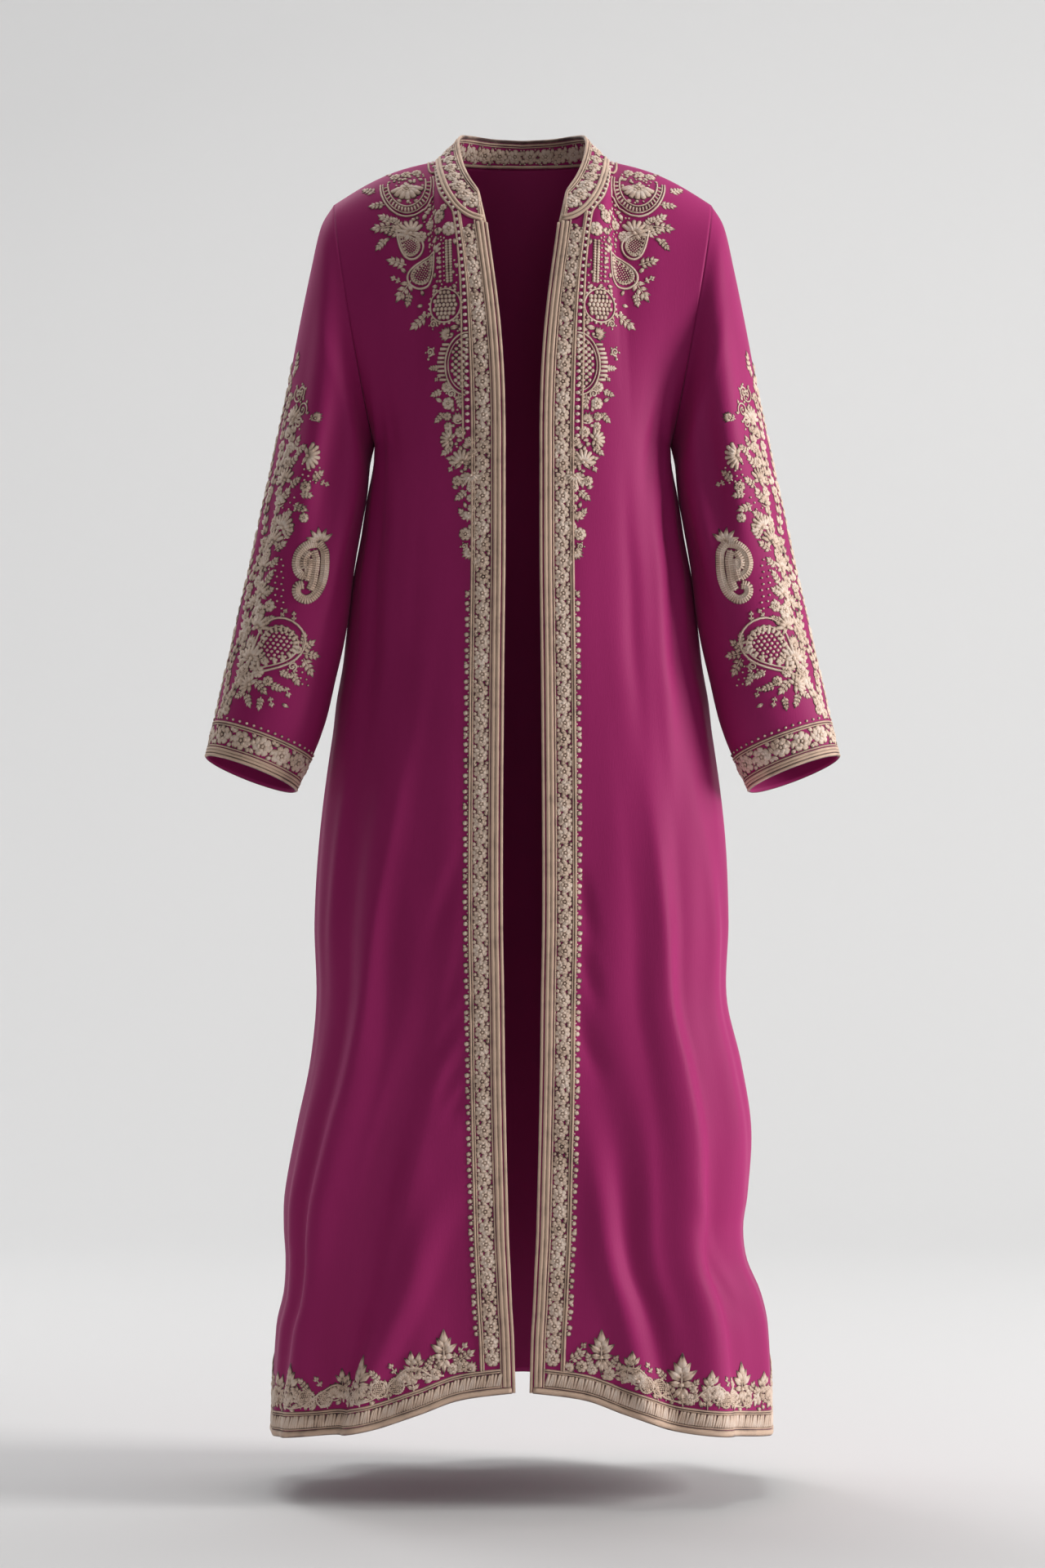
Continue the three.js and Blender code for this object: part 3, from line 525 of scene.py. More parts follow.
MIRROR = np.array([-1.0, 1, 1])
Sheet = namedtuple("Sheet", "points closed")


def make_body():
    grids = {}
    for name, quarter in QUARTERS.items():
        points, turns = quarter_grid(quarter)
        grids[name] = add_soft_detail(quarter, points, turns)
    back = np.concatenate([grids["back_left"][:, :0:-1], grids["back_right"] * MIRROR], axis=1)
    return {
        "front_left": Sheet(grids["front_left"], False),
        "front_right": Sheet((grids["front_right"] * MIRROR)[:, ::-1], False),
        "back": Sheet(back, False),
    }


sheets = make_body()
for name, sheet in sheets.items():
    print(name, "grid", sheet.points.shape[:2])

# %% [markdown]
# ## The sleeves
# A sleeve is a stack of rings. The first one is the armhole itself, taken from the side edges of the front
# and the back, and over a short way down the arm it settles into the sleeve's own oval. The folds of the
# inner arm and the soft breaks at the elbow are added round each ring.

# %% Sleeve tables and grid
SLEEVE_RINGS = {
    "along": [0, 0.06, 0.13, 0.23, 0.35, 0.48, 0.61, 0.74, 0.86, 0.93, 1],
    "out_x": [208, 222, 233, 246, 262, 280, 299, 318, 333, 341, 346],
    "out_z": [-39, -63, -110, -174, -260, -345, -434, -520, -588, -623, -648],
    "in_x": [163, 166, 169.5, 174, 182, 190, 197, 207, 217, 229, 248],
    "in_z": [-305, -317, -334, -358, -396, -442, -496, -556, -612, -645, -684],
    "depth": [68, 70, 70, 69, 66, 63, 60, 57, 52, 46, 41],
    "forward": [0, 0, 1, 3, 6, 10, 15, 21, 27, 31, 35],
    "tip_up": [0, 0, 0, 1, 2, 3, 4, 6, 7, 8, 9],
    "lean": [0, 1, 3, 5, 7, 7, 7, 6, 4, 2, 0],
}
# at (degrees from the outer side towards the front), drift, from, to, width, rise
SLEEVE_FOLDS = [
    (62, 14, 0.04, 0.62, 26, 6),
    (104, -10, 0.06, 0.6, 22, -8),
    (140, -26, 0.1, 0.75, 20, 6),
    (30, 4, 0.34, 0.9, 22, -4),
    (292, 8, 0.06, 0.7, 24, 7),
    (255, 6, 0.08, 0.66, 20, -8),
    (214, 10, 0.2, 0.82, 22, 5),
]
SLEEVE_ROWS = 96
SLEEVE_LENGTH = 640


def sleeve_fold_rise(along, degrees):
    rise = 0
    for at, drift, start, end, width, height in SLEEVE_FOLDS:
        run = (along - start) / (end - start)
        middle = at + drift * np.clip(run, 0, 1)
        rise = rise + height * swell(2 * run - 1) * swell((degrees - middle) / width)
    return rise


def sleeve_points(along, degrees):
    """Points of the left sleeve at places along the arm and round it."""
    values = {column: read(SLEEVE_RINGS, "along", along, column) for column in list(SLEEVE_RINGS)[1:]}
    outer = np.stack([values["out_x"], -values["forward"], values["out_z"]], axis=-1)
    eased = values["in_x"] - read(SIDE_EASE, "z", values["in_z"], "sleeve")
    inner = np.stack([eased, -values["forward"], values["in_z"]], axis=-1)
    middle, across = (outer + inner) / 2, (outer - inner) / 2
    forwards = np.stack([-values["lean"], -values["depth"], values["tip_up"]], axis=-1)
    grow = (1 + sleeve_fold_rise(along, degrees) / np.linalg.norm(forwards, axis=-1))[..., None]
    angle = np.radians(degrees)[..., None]
    return middle + across * np.cos(angle) * grow + forwards * np.sin(angle) * grow


def make_sleeve(front_edge, back_edge):
    """Closed rings from the armhole's front and back edges, which run from underarm to shoulder."""
    ring = np.concatenate([front_edge[::-1], back_edge[1:-1]])
    degrees = 360 * np.arange(len(ring)) / len(ring)
    band_start = 1 - CUFF_BAND / SLEEVE_LENGTH
    alongs = np.r_[np.linspace(0, band_start, SLEEVE_ROWS), np.linspace(band_start, 1, 9)[1:]]
    along, degrees = np.broadcast_arrays(alongs[:, None], degrees[None, :])
    shift = ring - sleeve_points(np.zeros(len(ring)), degrees[0])
    settle = smooth(along / 0.2)[..., None]
    return sleeve_points(along, degrees) + shift[None] * (1 - settle)


def armhole_edge(sheet, column):
    return sheet.points[-UPPER_ROWS - 1 :, column]


left = make_sleeve(armhole_edge(sheets["front_left"], -1), armhole_edge(sheets["back"], 0))
right_edges = armhole_edge(sheets["front_right"], 0), armhole_edge(sheets["back"], -1)
right = make_sleeve(*[edge * MIRROR for edge in right_edges])
sheets["sleeve_left"] = Sheet(left, True)
sheets["sleeve_right"] = Sheet((right * MIRROR)[:, ::-1], True)
print("sleeve grid", left.shape[:2])

# %% [markdown]
# ## The collar
# The collar stands on the neck seam. Each point of the seam is joined to a point of the collar's top edge.
# In front the top edge starts later than the seam, which gives the collar its upright front ends.

# %% Collar grid
COLLAR_ROWS = 14


def make_collar():
    neck_columns = BAND_STEPS + NECK_STEPS + 1
    left = sheets["front_left"].points[-1, :neck_columns]
    right = sheets["front_right"].points[-1, -neck_columns:]
    back = sheets["back"].points[-1]
    middle = len(back) // 2
    behind = back[middle - NECK_STEPS : middle + NECK_STEPS + 1]
    base = np.concatenate([left, behind[1:], right[1:]])
    upper = []
    for point in base:
        in_front = point[1] < 0
        seam, edge = (front_neck, collar_top_front) if in_front else (back_neck, collar_top_back)
        run = lengths_along(seam)
        nearest = np.argmin(np.hypot(seam[:, 0] - abs(point[0]), seam[:, 1] - point[1]))
        share = (run[nearest] / run[-1]) ** (COLLAR_LEAD if in_front else 1)
        found = at_share(edge, share)
        upper.append(found * MIRROR if point[0] < 0 else found)
    upper = np.array(upper)
    rows = []
    for share in np.linspace(0, 1, COLLAR_ROWS):
        row = base + (upper - base) * share
        row[:, 1] += np.sign(base[:, 1]) * 1.5 * math.sin(math.pi * share)
        rows.append(row)
    return np.array(rows)


sheets["collar"] = Sheet(make_collar(), False)
print("collar grid", sheets["collar"].points.shape[:2])

# %% [markdown]
# ## Crepe
# The cloth is a matt crepe: twisted yarns give it a fine vertical grain and a dull bloom along the folds.
# One Principled shader holds the colour and a soft sheen. A stretched noise gives the yarns, a larger one
# the uneven dye, and both read Object coordinates, so all panels match at their seams.

# %% Cloth material
CREPE_DARK, CREPE_LIGHT = (0.32, 0.014, 0.118, 1), (0.39, 0.02, 0.148, 1)


def noise(tree, coordinates, scale, detail, stretch=(1, 1, 1)):
    """A noise texture over stretched coordinates."""
    mapping = tree.nodes.new("ShaderNodeMapping")
    mapping.inputs["Scale"].default_value = stretch
    tree.links.new(coordinates, mapping.inputs["Vector"])
    texture = tree.nodes.new("ShaderNodeTexNoise")
    texture.inputs["Scale"].default_value = scale
    texture.inputs["Detail"].default_value = detail
    tree.links.new(mapping.outputs["Vector"], texture.inputs["Vector"])
    return texture.outputs["Fac"]


def colour_ramp(tree, value, stops):
    ramp = tree.nodes.new("ShaderNodeValToRGB")
    for position, _ in stops[2:]:
        ramp.color_ramp.elements.new(position)
    for element, (position, colour) in zip(ramp.color_ramp.elements, stops):
        element.position, element.color = position, colour
    tree.links.new(value, ramp.inputs["Fac"])
    return ramp.outputs["Color"]


def bump(tree, shader, height, strength, distance):
    node = tree.nodes.new("ShaderNodeBump")
    node.inputs["Strength"].default_value = strength
    node.inputs["Distance"].default_value = distance
    tree.links.new(height, node.inputs["Height"])
    tree.links.new(node.outputs["Normal"], shader.inputs["Normal"])


def crepe_material():
    material, tree, shader = principled(
        "magenta_crepe", Roughness=0.6, Sheen_Weight=0.12, Sheen_Roughness=0.4, Specular_IOR_Level=0.18
    )
    shader.inputs["Sheen Tint"].default_value = (1.0, 0.45, 0.75, 1)
    coordinates = tree.nodes.new("ShaderNodeTexCoord").outputs["Object"]
    dye = noise(tree, coordinates, 9, 3, (1, 1, 0.35))
    colour = colour_ramp(tree, dye, [(0.3, CREPE_DARK), (0.7, CREPE_LIGHT)])
    tree.links.new(colour, shader.inputs["Base Color"])
    yarns = noise(tree, coordinates, 900, 2, (1, 1, 0.12))
    bump(tree, shader, yarns, 0.25, 0.0004)
    return material


crepe = crepe_material()
print("material:", crepe.name)

# %% [markdown]
# ## From grid to cloth
# A grid becomes a mesh with one quad between four points. Solidify gives it the thickness of the cloth
# inwards, so its outer face stays on the cut. Each piece's area is printed beside the flat size it was cut
# to, and it replaces its imported wall.

# %% Cloth pieces
CLOTH_THICKNESS, COLLAR_THICKNESS = 1.2, 2.2


def grid_faces(rows, columns, closed):
    """Quads of a grid whose points are numbered row by row."""
    steps = columns if closed else columns - 1
    row, column = np.meshgrid(np.arange(rows - 1), np.arange(steps), indexing="ij")
    first, after = (row * columns + column).ravel(), (row * columns + (column + 1) % columns).ravel()
    return np.stack([first, after, after + columns, first + columns], axis=1)


def mesh_object(name, points, faces, smooth_faces=True):
    mesh = bpy.data.meshes.new(name)
    mesh.from_pydata((np.asarray(points) * MM).tolist(), [], [tuple(face) for face in faces])
    mesh.polygons.foreach_set("use_smooth", [smooth_faces] * len(mesh.polygons))
    made = bpy.data.objects.new(name, mesh)
    bpy.context.scene.collection.objects.link(made)
    return made


def select_only(made):
    bpy.ops.object.select_all(action="DESELECT")
    made.select_set(True)
    bpy.context.view_layer.objects.active = made


def apply_solidify(made, thickness):
    modifier = made.modifiers.new("thickness", "SOLIDIFY")
    modifier.thickness = thickness * MM
    modifier.offset = -1
    select_only(made)
    bpy.ops.object.modifier_apply(modifier=modifier.name)


def flat_area(points):
    """Area of a grid in square metres."""
    diagonal_1, diagonal_2 = points[1:, 1:] - points[:-1, :-1], points[1:, :-1] - points[:-1, 1:]
    return float(np.linalg.norm(np.cross(diagonal_1, diagonal_2), axis=-1).sum() / 2 * MM**2)


# name, flat width and length of the cut in metres, how it is held
CUTS = {
    "front_left": (0.36, 1.46, "hung"),
    "front_right": (0.36, 1.46, "hung"),
    "back": (0.68, 1.42, "hung"),
    "sleeve_left": (0.42, 0.66, "hung"),
    "sleeve_right": (0.42, 0.66, "hung"),
    "collar": (0.5, 0.075, "stretched"),
}
cloth = {}
for name, sheet in sheets.items():
    points = sheet.points
    piece = mesh_object(
        "cloth_" + name, points.reshape(-1, 3), grid_faces(*points.shape[:2], sheet.closed)
    )
    area = flat_area(np.concatenate([points, points[:, :1]], axis=1) if sheet.closed else points)
    apply_solidify(piece, COLLAR_THICKNESS if name == "collar" else CLOTH_THICKNESS)
    piece.data.materials.append(crepe)
    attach(piece, "root")
    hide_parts(name)
    width, length, held = CUTS[name]
    cloth[name] = piece
    print(name, round(area, 3), "of", round(width * length, 3), "m2,", len(piece.data.polygons), "faces")

# %% [markdown]
# ## Grounds and charts for the sewing
# Embroidery lies on the cloth and follows its curves. Two helpers carry it there. A chart measures a
# border the way a tailor does: so many millimetres along the edge, so many in from it. A spot is a place
# on the cloth with its own right, up and outward directions, for motifs that stand alone.

# %% Grounds
Spot = namedtuple("Spot", "ground at right up mirror")
WORLD_UP = np.array([0, 0, 1.0])


def sheet_normals(sheet):
    return grid_normals(sheet.points, sheet.closed)


def inner_face(sheet, thickness):
    """The far face of a sheet, with its columns turned round so that it faces the other way."""
    return Sheet((sheet.points - sheet_normals(sheet) * thickness)[:, ::-1], sheet.closed)


def ground_of(*parts):
    vertices, faces, first = [], [], 0
    for part in parts:
        rows, columns = part.points.shape[:2]
        vertices += part.points.reshape(-1, 3).tolist()
        faces += (grid_faces(rows, columns, part.closed) + first).tolist()
        first += rows * columns
    return BVHTree.FromPolygons(vertices, faces)


sheets["collar_inside"] = inner_face(sheets["collar"], COLLAR_THICKNESS)
GROUNDS = {
    "body": ground_of(sheets["front_left"], sheets["front_right"], sheets["back"]),
    "sleeve_left": ground_of(sheets["sleeve_left"]),
    "sleeve_right": ground_of(sheets["sleeve_right"]),
    "collar": ground_of(sheets["collar"]),
    "collar_inside": ground_of(sheets["collar_inside"]),
}


def drop(ground, points):
    """The nearest places on the cloth, and the outward directions there."""
    found = [GROUNDS[ground].find_nearest(Vector(point)) for point in np.asarray(points).reshape(-1, 3)]
    return np.array([place[0] for place in found]), np.array([place[1] for place in found])


def spot_at(ground, at, up=WORLD_UP, mirror=1):
    """A place on the cloth whose up direction is as near as it can be to the one given."""
    place, outward = drop(ground, at)
    up = unit(up - outward[0] * np.dot(up, outward[0]))
    return Spot(ground, place[0], np.cross(up, outward[0]), up, mirror)


def seen_spot(ground, pixel_x, pixel_y, side, behind=False):
    """The spot under a pixel of the photograph's left half, mirrored for the other side or for the back."""
    start, ray = CAMERA_AT / MM, sight_line(pixel_x, pixel_y)
    if side > 0:
        ray.x = -ray.x
    if behind:
        start.y, ray.y = -start.y, -ray.y
    place, outward, _, _ = GROUNDS[ground].ray_cast(start, ray)
    if place is None:
        place = GROUNDS[ground].find_nearest(start + ray * start.length)[0]
    return spot_at(ground, np.array(place), mirror=side if behind else -side)


# %% Charts
Chart = namedtuple("Chart", "ground lines runs depths")


def make_chart(ground, lines):
    """Coordinates on a border: s runs along its edge, t inwards from the edge, both in millimetres."""
    return Chart(ground, lines, lengths_along(lines[:, 0]), lengths_along(lines))


def chart_points(chart, s, t):
    s, t = np.broadcast_arrays(np.atleast_1d(s).astype(float), np.atleast_1d(t).astype(float))
    first = np.clip(np.searchsorted(chart.runs, s) - 1, 0, len(chart.runs) - 2)
    share = (s - chart.runs[first]) / (chart.runs[first + 1] - chart.runs[first])
    points = []
    for line, part, depth in zip(first, share, t):
        ends = []
        for k in (line, line + 1):
            axes = chart.lines[k].T
            ends.append(np.array([np.interp(depth, chart.depths[k], axis) for axis in axes]))
        outside = min(0.0, depth) * unit(chart.lines[line][1] - chart.lines[line][0])
        points.append(ends[0] + (ends[1] - ends[0]) * part + outside)
    return np.array(points)


def chart_spot(chart, s, t, upright=False, mirror=1):
    """A spot on a border: its up runs along the edge, or away from it if upright; x then counts inwards."""
    ahead = s + 2.0 if s + 2 < chart.runs[-1] else s - 2.0
    at, along, inwards = chart_points(chart, [s, ahead, s], [t, t, t + 2.0])
    if upright:
        return spot_at(chart.ground, at, inwards - at, mirror)
    spot = spot_at(chart.ground, at, (along - at) * np.sign(ahead - s))
    return spot._replace(mirror=float(np.sign(np.dot(spot.right, inwards - at))))


BORDER_COLUMNS, HEM_CHART_ROWS, CUFF_CHART_ROWS = 22, 18, 20
left_front, right_front = sheets["front_left"].points, sheets["front_right"].points[:, ::-1]


def cuff_chart(name):
    rings = sheets[name].points[::-1][:CUFF_CHART_ROWS]
    return make_chart(name, np.concatenate([rings, rings[:, :1]], axis=1).transpose(1, 0, 2))


CHARTS = {
    "front_left": make_chart("body", left_front[:, :BORDER_COLUMNS]),
    "front_right": make_chart("body", right_front[:, :BORDER_COLUMNS]),
    "hem_left": make_chart("body", left_front[:HEM_CHART_ROWS].transpose(1, 0, 2)),
    "hem_right": make_chart("body", right_front[:HEM_CHART_ROWS].transpose(1, 0, 2)),
    "hem_back": make_chart("body", sheets["back"].points[:HEM_CHART_ROWS].transpose(1, 0, 2)),
    "cuff_left": cuff_chart("sleeve_left"),
    "cuff_right": cuff_chart("sleeve_right"),
    "collar": make_chart("collar", sheets["collar"].points.transpose(1, 0, 2)),
    "collar_inside": make_chart("collar_inside", sheets["collar_inside"].points.transpose(1, 0, 2)),
}
for name, chart in CHARTS.items():
    print(name, "edge", round(float(chart.runs[-1])), "mm")

# %% [markdown]
# ## Stitches, modelled once
# Satin stitch builds low padded forms. There are four of them here: a leaf with a sunk vein, a broad petal,
# a round dot, and a straight bar. Each starts as a ball in edit mode, loses its lower half and gets its
# points, its vein and a closed underside. Everything sewn on the kaftan is a copy of one of these, or a
# cord.

# %% Prototypes
Form = namedtuple("Form", "points faces")


def select_where(made, test):
    """Selects the vertices of the edited mesh that pass a test on their place."""
    bpy.ops.object.mode_set(mode="OBJECT")
    for element in (made.data.edges, made.data.polygons):
        element.foreach_set("select", [False] * len(element))
    made.data.vertices.foreach_set("select", [bool(test(vertex.co)) for vertex in made.data.vertices])
    bpy.ops.object.mode_set(mode="EDIT")
    bpy.ops.mesh.select_mode(type="VERT")


def start_dome(segments, rings, lying):
    """The upper half of a ball, with its poles on the Y axis if it is lying."""
    bpy.ops.object.select_all(action="DESELECT")
    turn = (math.radians(90) if lying else 0, 0, 0)
    bpy.ops.mesh.primitive_uv_sphere_add(segments=segments, ring_count=rings, radius=0.5, rotation=turn)
    made = bpy.context.active_object
    bpy.ops.object.transform_apply(location=False, rotation=True, scale=False)
    select_where(made, lambda at: at.z < -0.01)
    bpy.ops.mesh.delete(type="VERT")
    return made


def finish_form(made):
    """Closes the underside, turns faces outwards, and takes the form as numbers from 0 to 1."""
    select_where(made, lambda at: at.z < 0.01)
    bpy.ops.mesh.edge_face_add()
    bpy.ops.mesh.select_all(action="SELECT")
    bpy.ops.mesh.quads_convert_to_tris()
    bpy.ops.mesh.normals_make_consistent(inside=False)
    bpy.ops.object.mode_set(mode="OBJECT")
    points = np.array([vertex.co[:] for vertex in made.data.vertices])
    faces = np.array([face.vertices[:] for face in made.data.polygons])
    low, high = points.min(axis=0), points.max(axis=0)
    points = (points - [0, low[1], 0]) / [high[0] - low[0], high[1] - low[1], high[2]]
    bpy.data.objects.remove(made)
    return Form(points, faces)


def move_where(made, test, step):
    select_where(made, test)
    bpy.ops.transform.translate(value=step)


def resize_where(made, test, factors):
    select_where(made, test)
    bpy.ops.transform.resize(value=factors, center_override=(0, 0, 0))


def make_leaf():
    made = start_dome(8, 4, True)
    resize_where(made, lambda at: 0.3 < at.y < 0.4, (0.72, 1, 0.9))
    move_where(made, lambda at: at.y > 0.49, (0, 0.2, 0))
    move_where(made, lambda at: at.y < -0.49, (0, -0.08, 0))
    move_where(made, lambda at: abs(at.x) < 0.01 and abs(at.y) < 0.4 and at.z > 0.1, (0, 0, -0.2))
    return finish_form(made)


def make_petal():
    made = start_dome(8, 4, True)
    resize_where(made, lambda at: 0.3 < at.y < 0.4, (1.25, 1.08, 1))
    resize_where(made, lambda at: -0.4 < at.y < -0.3, (0.6, 1, 0.7))
    move_where(made, lambda at: abs(at.x) < 0.01 and at.y < 0.2 and at.z > 0.1, (0, 0, -0.12))
    return finish_form(made)


def make_bar():
    made = start_dome(8, 4, True)
    resize_where(made, lambda at: 0.3 < abs(at.y) < 0.4, (1.3, 1.25, 1.3))
    return finish_form(made)


def make_dot():
    return finish_form(start_dome(6, 4, False))


FORMS = {"leaf": make_leaf(), "petal": make_petal(), "bar": make_bar(), "dot": make_dot()}
for name, form in FORMS.items():
    print(name, len(form.faces), "triangles")

# %% [markdown]
# ## Laying stitches and cords
# A motif is a short list of forms and cords, drawn flat in millimetres round its own middle. Laying it
# sets each form on the cloth under its place, turned into the cloth's own plane, and long ones are bent
# down on to it. A cord is a section run along a line. All that is laid goes into a pile, and a pile becomes
# one mesh with a map in millimetres, which the thread material reads for its stitches.

# %% Piles
# Longer forms are bent down on to the cloth, all sink into it a little, and their rims reach out as skirts of
# painted shade
CONFORM_FROM = 9.0
SINK = 0.25
FORM_SHADE_RIM, CORD_SHADE_RIM = 0.9, 0.6


class Pile:
    """Geometry in millimetres that becomes one object. Its map: u, v and, twice, the share of the height."""

    def __init__(self, name):
        self.name, self.points, self.faces, self.maps, self.count = name, [], [], [], 0

    def add(self, points, faces, map_points):
        self.points.append(points)
        self.faces += (np.asarray(faces) + self.count).tolist()
        self.maps.append(map_points)
        self.count += len(points)

    def build(self, material):
        made = mesh_object(self.name, np.concatenate(self.points), self.faces)
        places = np.concatenate(self.maps)
        corners = np.empty(len(made.data.loops), dtype=int)
        made.data.loops.foreach_get("vertex_index", corners)
        for name, columns in (("thread", places[:, :2]), ("relief", places[:, 2:])):
            layer = made.data.uv_layers.new(name=name)
            layer.data.foreach_set("uv", columns[corners].astype(np.float32).ravel())
        made.data.materials.append(material)
        return made


def lay_form(pile, spot, kind, x, y, angle, length, width, height):
    """One form with its foot at x, y in the spot's plane, pointing at an angle from up towards the right."""
    form = FORMS[kind]
    x, angle = x * spot.mirror, math.radians(angle) * spot.mirror
    way = spot.right * math.sin(angle) + spot.up * math.cos(angle)
    foot = spot.at + spot.right * x + spot.up * y
    places, outwards = drop(spot.ground, foot + way * (length / 2 if kind != "dot" else 0))
    outward = outwards[0]
    way = unit(way - outward * np.dot(way, outward))
    side = np.cross(way, outward)
    # The base ring reaches out into a low skirt, dark with painted shade at the form's foot
    rim = 2 * FORM_SHADE_RIM * (form.points[:, 2] < 0.05) * (kind != "dot")
    along = (form.points[:, 1] - 0.5) * (length + rim)
    across = form.points[:, 0] * (width + rim)
    flat = places[0] + np.outer(along, way) + np.outer(across, side)
    rise = form.points[:, 2] * (height + SINK) - SINK
    if length > CONFORM_FROM:
        flat, outwards = drop(spot.ground, flat)
        points = flat + outwards * rise[:, None]
    else:
        points = flat + outward * rise[:, None]
    # The share of the height: the thread material paints shade from it at the foot and a highlight on top
    relief = form.points[:, 2]
    pile.add(points, form.faces, np.stack([across, along, relief, relief], axis=1))


def section(width, height, sides=6):
    """A low rounded section, flat underneath, as (across, up) pairs."""
    angles = np.linspace(math.pi, 0, sides)
    top = np.stack([np.cos(angles) * width / 2, np.sin(angles) * (height + SINK) - SINK], axis=1)
    # The cord's edges reach out into a skirt, dark with painted shade
    top[[0, -1], 0] += np.array([-CORD_SHADE_RIM, CORD_SHADE_RIM])
    return top


def round_section(radius, sides=8):
    angles = -2 * math.pi * np.arange(sides) / sides
    return np.stack([np.cos(angles), np.sin(angles)], axis=1) * radius


def double_rib(width, height):
    """A flat braid with two ribs, each a rounded hump with a hollow beside it."""
    half = width / 2
    shape = [(-1, -0.1), (-0.94, 0.6), (-0.72, 1), (-0.36, 1), (-0.12, 0.72), (0, 0.35)]
    left_half = [(x * half, z * height) for x, z in shape]
    return np.array(left_half + [(-x, z) for x, z in reversed(left_half[:-1])])


def sweep(pile, path, outwards, profile, taper=None, closed=False):
    """Runs a section along a path on the cloth, with closed ends."""
    tangents = np.roll(path, -1, axis=0) - np.roll(path, 1, axis=0) if closed else np.gradient(path, axis=0)
    tangents = unit(tangents)
    sides = unit(np.cross(tangents, outwards))
    ups = np.cross(sides, tangents)
    scale = np.ones(len(path)) if taper is None else taper
    shape = profile[None] * scale[:, None, None]
    rings = path[:, None] + sides[:, None] * shape[..., :1] + ups[:, None] * shape[..., 1:]
    rows, columns = rings.shape[:2]
    if closed:
        rings = np.concatenate([rings, rings[:1]])
        rows += 1
    faces = grid_faces(rows, columns, True).tolist()
    if not closed:
        faces += [list(range(columns))[::-1], [(rows - 1) * columns + k for k in range(columns)]]
    run = lengths_along(rings[:, 0])
    round_run = np.concatenate([[0], np.cumsum(np.linalg.norm(np.diff(profile, axis=0), axis=1))])
    # The share of the height: the material paints shade from it at the cord's sides and a highlight on its
    # top
    relief = np.clip((profile[:, 1] - profile[:, 1].min()) / np.ptp(profile[:, 1]), 0, 1)[None, :]
    places = np.stack(np.broadcast_arrays(round_run[None, :], run[:, None], relief, relief), axis=-1)
    pile.points.append(rings.reshape(-1, 3))
    pile.faces += [[k + pile.count for k in face] for face in faces]
    pile.maps.append(places.reshape(-1, 4))
    pile.count += rows * columns


def evened(path, step):
    """The same line with points a step apart."""
    run = lengths_along(path)
    places = np.linspace(0, run[-1], max(3, int(run[-1] / step) + 1))
    return np.stack([np.interp(places, run, path[:, k]) for k in range(3)], axis=-1)


def smoothed(vectors, times=2):
    for _ in range(times):
        middle = (vectors[:-2] + 2 * vectors[1:-1] + vectors[2:]) / 4
        vectors = np.concatenate([vectors[:1], middle, vectors[-1:]])
    return vectors


def lay_line(pile, ground, path, profile, lift=0.0, step=4.0, taper=None, closed=False):
    """A cord along a line in space, dropped on the cloth."""
    path = evened(np.asarray(path), step)
    if closed:
        path = path[:-1]
    places, outwards = drop(ground, path)
    outwards = unit(smoothed(outwards))
    widths = None if taper is None else np.interp(np.linspace(0, 1, len(path)), *taper)
    sweep(pile, places + outwards * lift, outwards, profile, widths, closed)


def lay_stroke(pile, spot, points, width, height, tapered=True):
    """A cord drawn in a spot's plane as (x, y) pairs."""
    points = np.asarray(points, float)
    path = spot.at + np.outer(points[:, 0] * spot.mirror, spot.right) + np.outer(points[:, 1], spot.up)
    taper = ([0, 0.12, 0.7, 1], [0.8, 1, 0.9, 0.45]) if tapered else None
    lay_line(pile, spot.ground, path, section(width, height, 5), step=2.2, taper=taper)


# %% [markdown]
# ## Thread
# Satin stitch is fine mercerised cotton, laid side by side, so it has a soft gloss across the threads. The
# map of each form gives the stitches: they lean away from the vein on both sides of it. Cords are the same
# thread twisted, so their stripes run round them on a slant. A noise varies the cream from one motif to
# the next. The share of the height in the map also sets the colour: painted shade, dark brown, at
# the foot of each form and cord, and a painted highlight on its top.

# %% Thread materials
# The dark colour is painted shade at the feet of forms and cords. The light one is a painted highlight on
# their tops, and it is also the pale dots' own thread.
THREAD_PAINTED_SHADE = (0.07, 0.022, 0.02, 1)
THREAD_MIDDLE = (0.78, 0.55, 0.41, 1)
THREAD_PALE_AND_HIGHLIGHT = (1.0, 0.82, 0.7, 1)


def math_node(tree, operation, first, second):
    node = tree.nodes.new("ShaderNodeMath")
    node.operation = operation
    for socket, value in zip(node.inputs, (first, second)):
        if isinstance(value, (int, float)):
            socket.default_value = value
        else:
            tree.links.new(value, socket)
    return node.outputs["Value"]


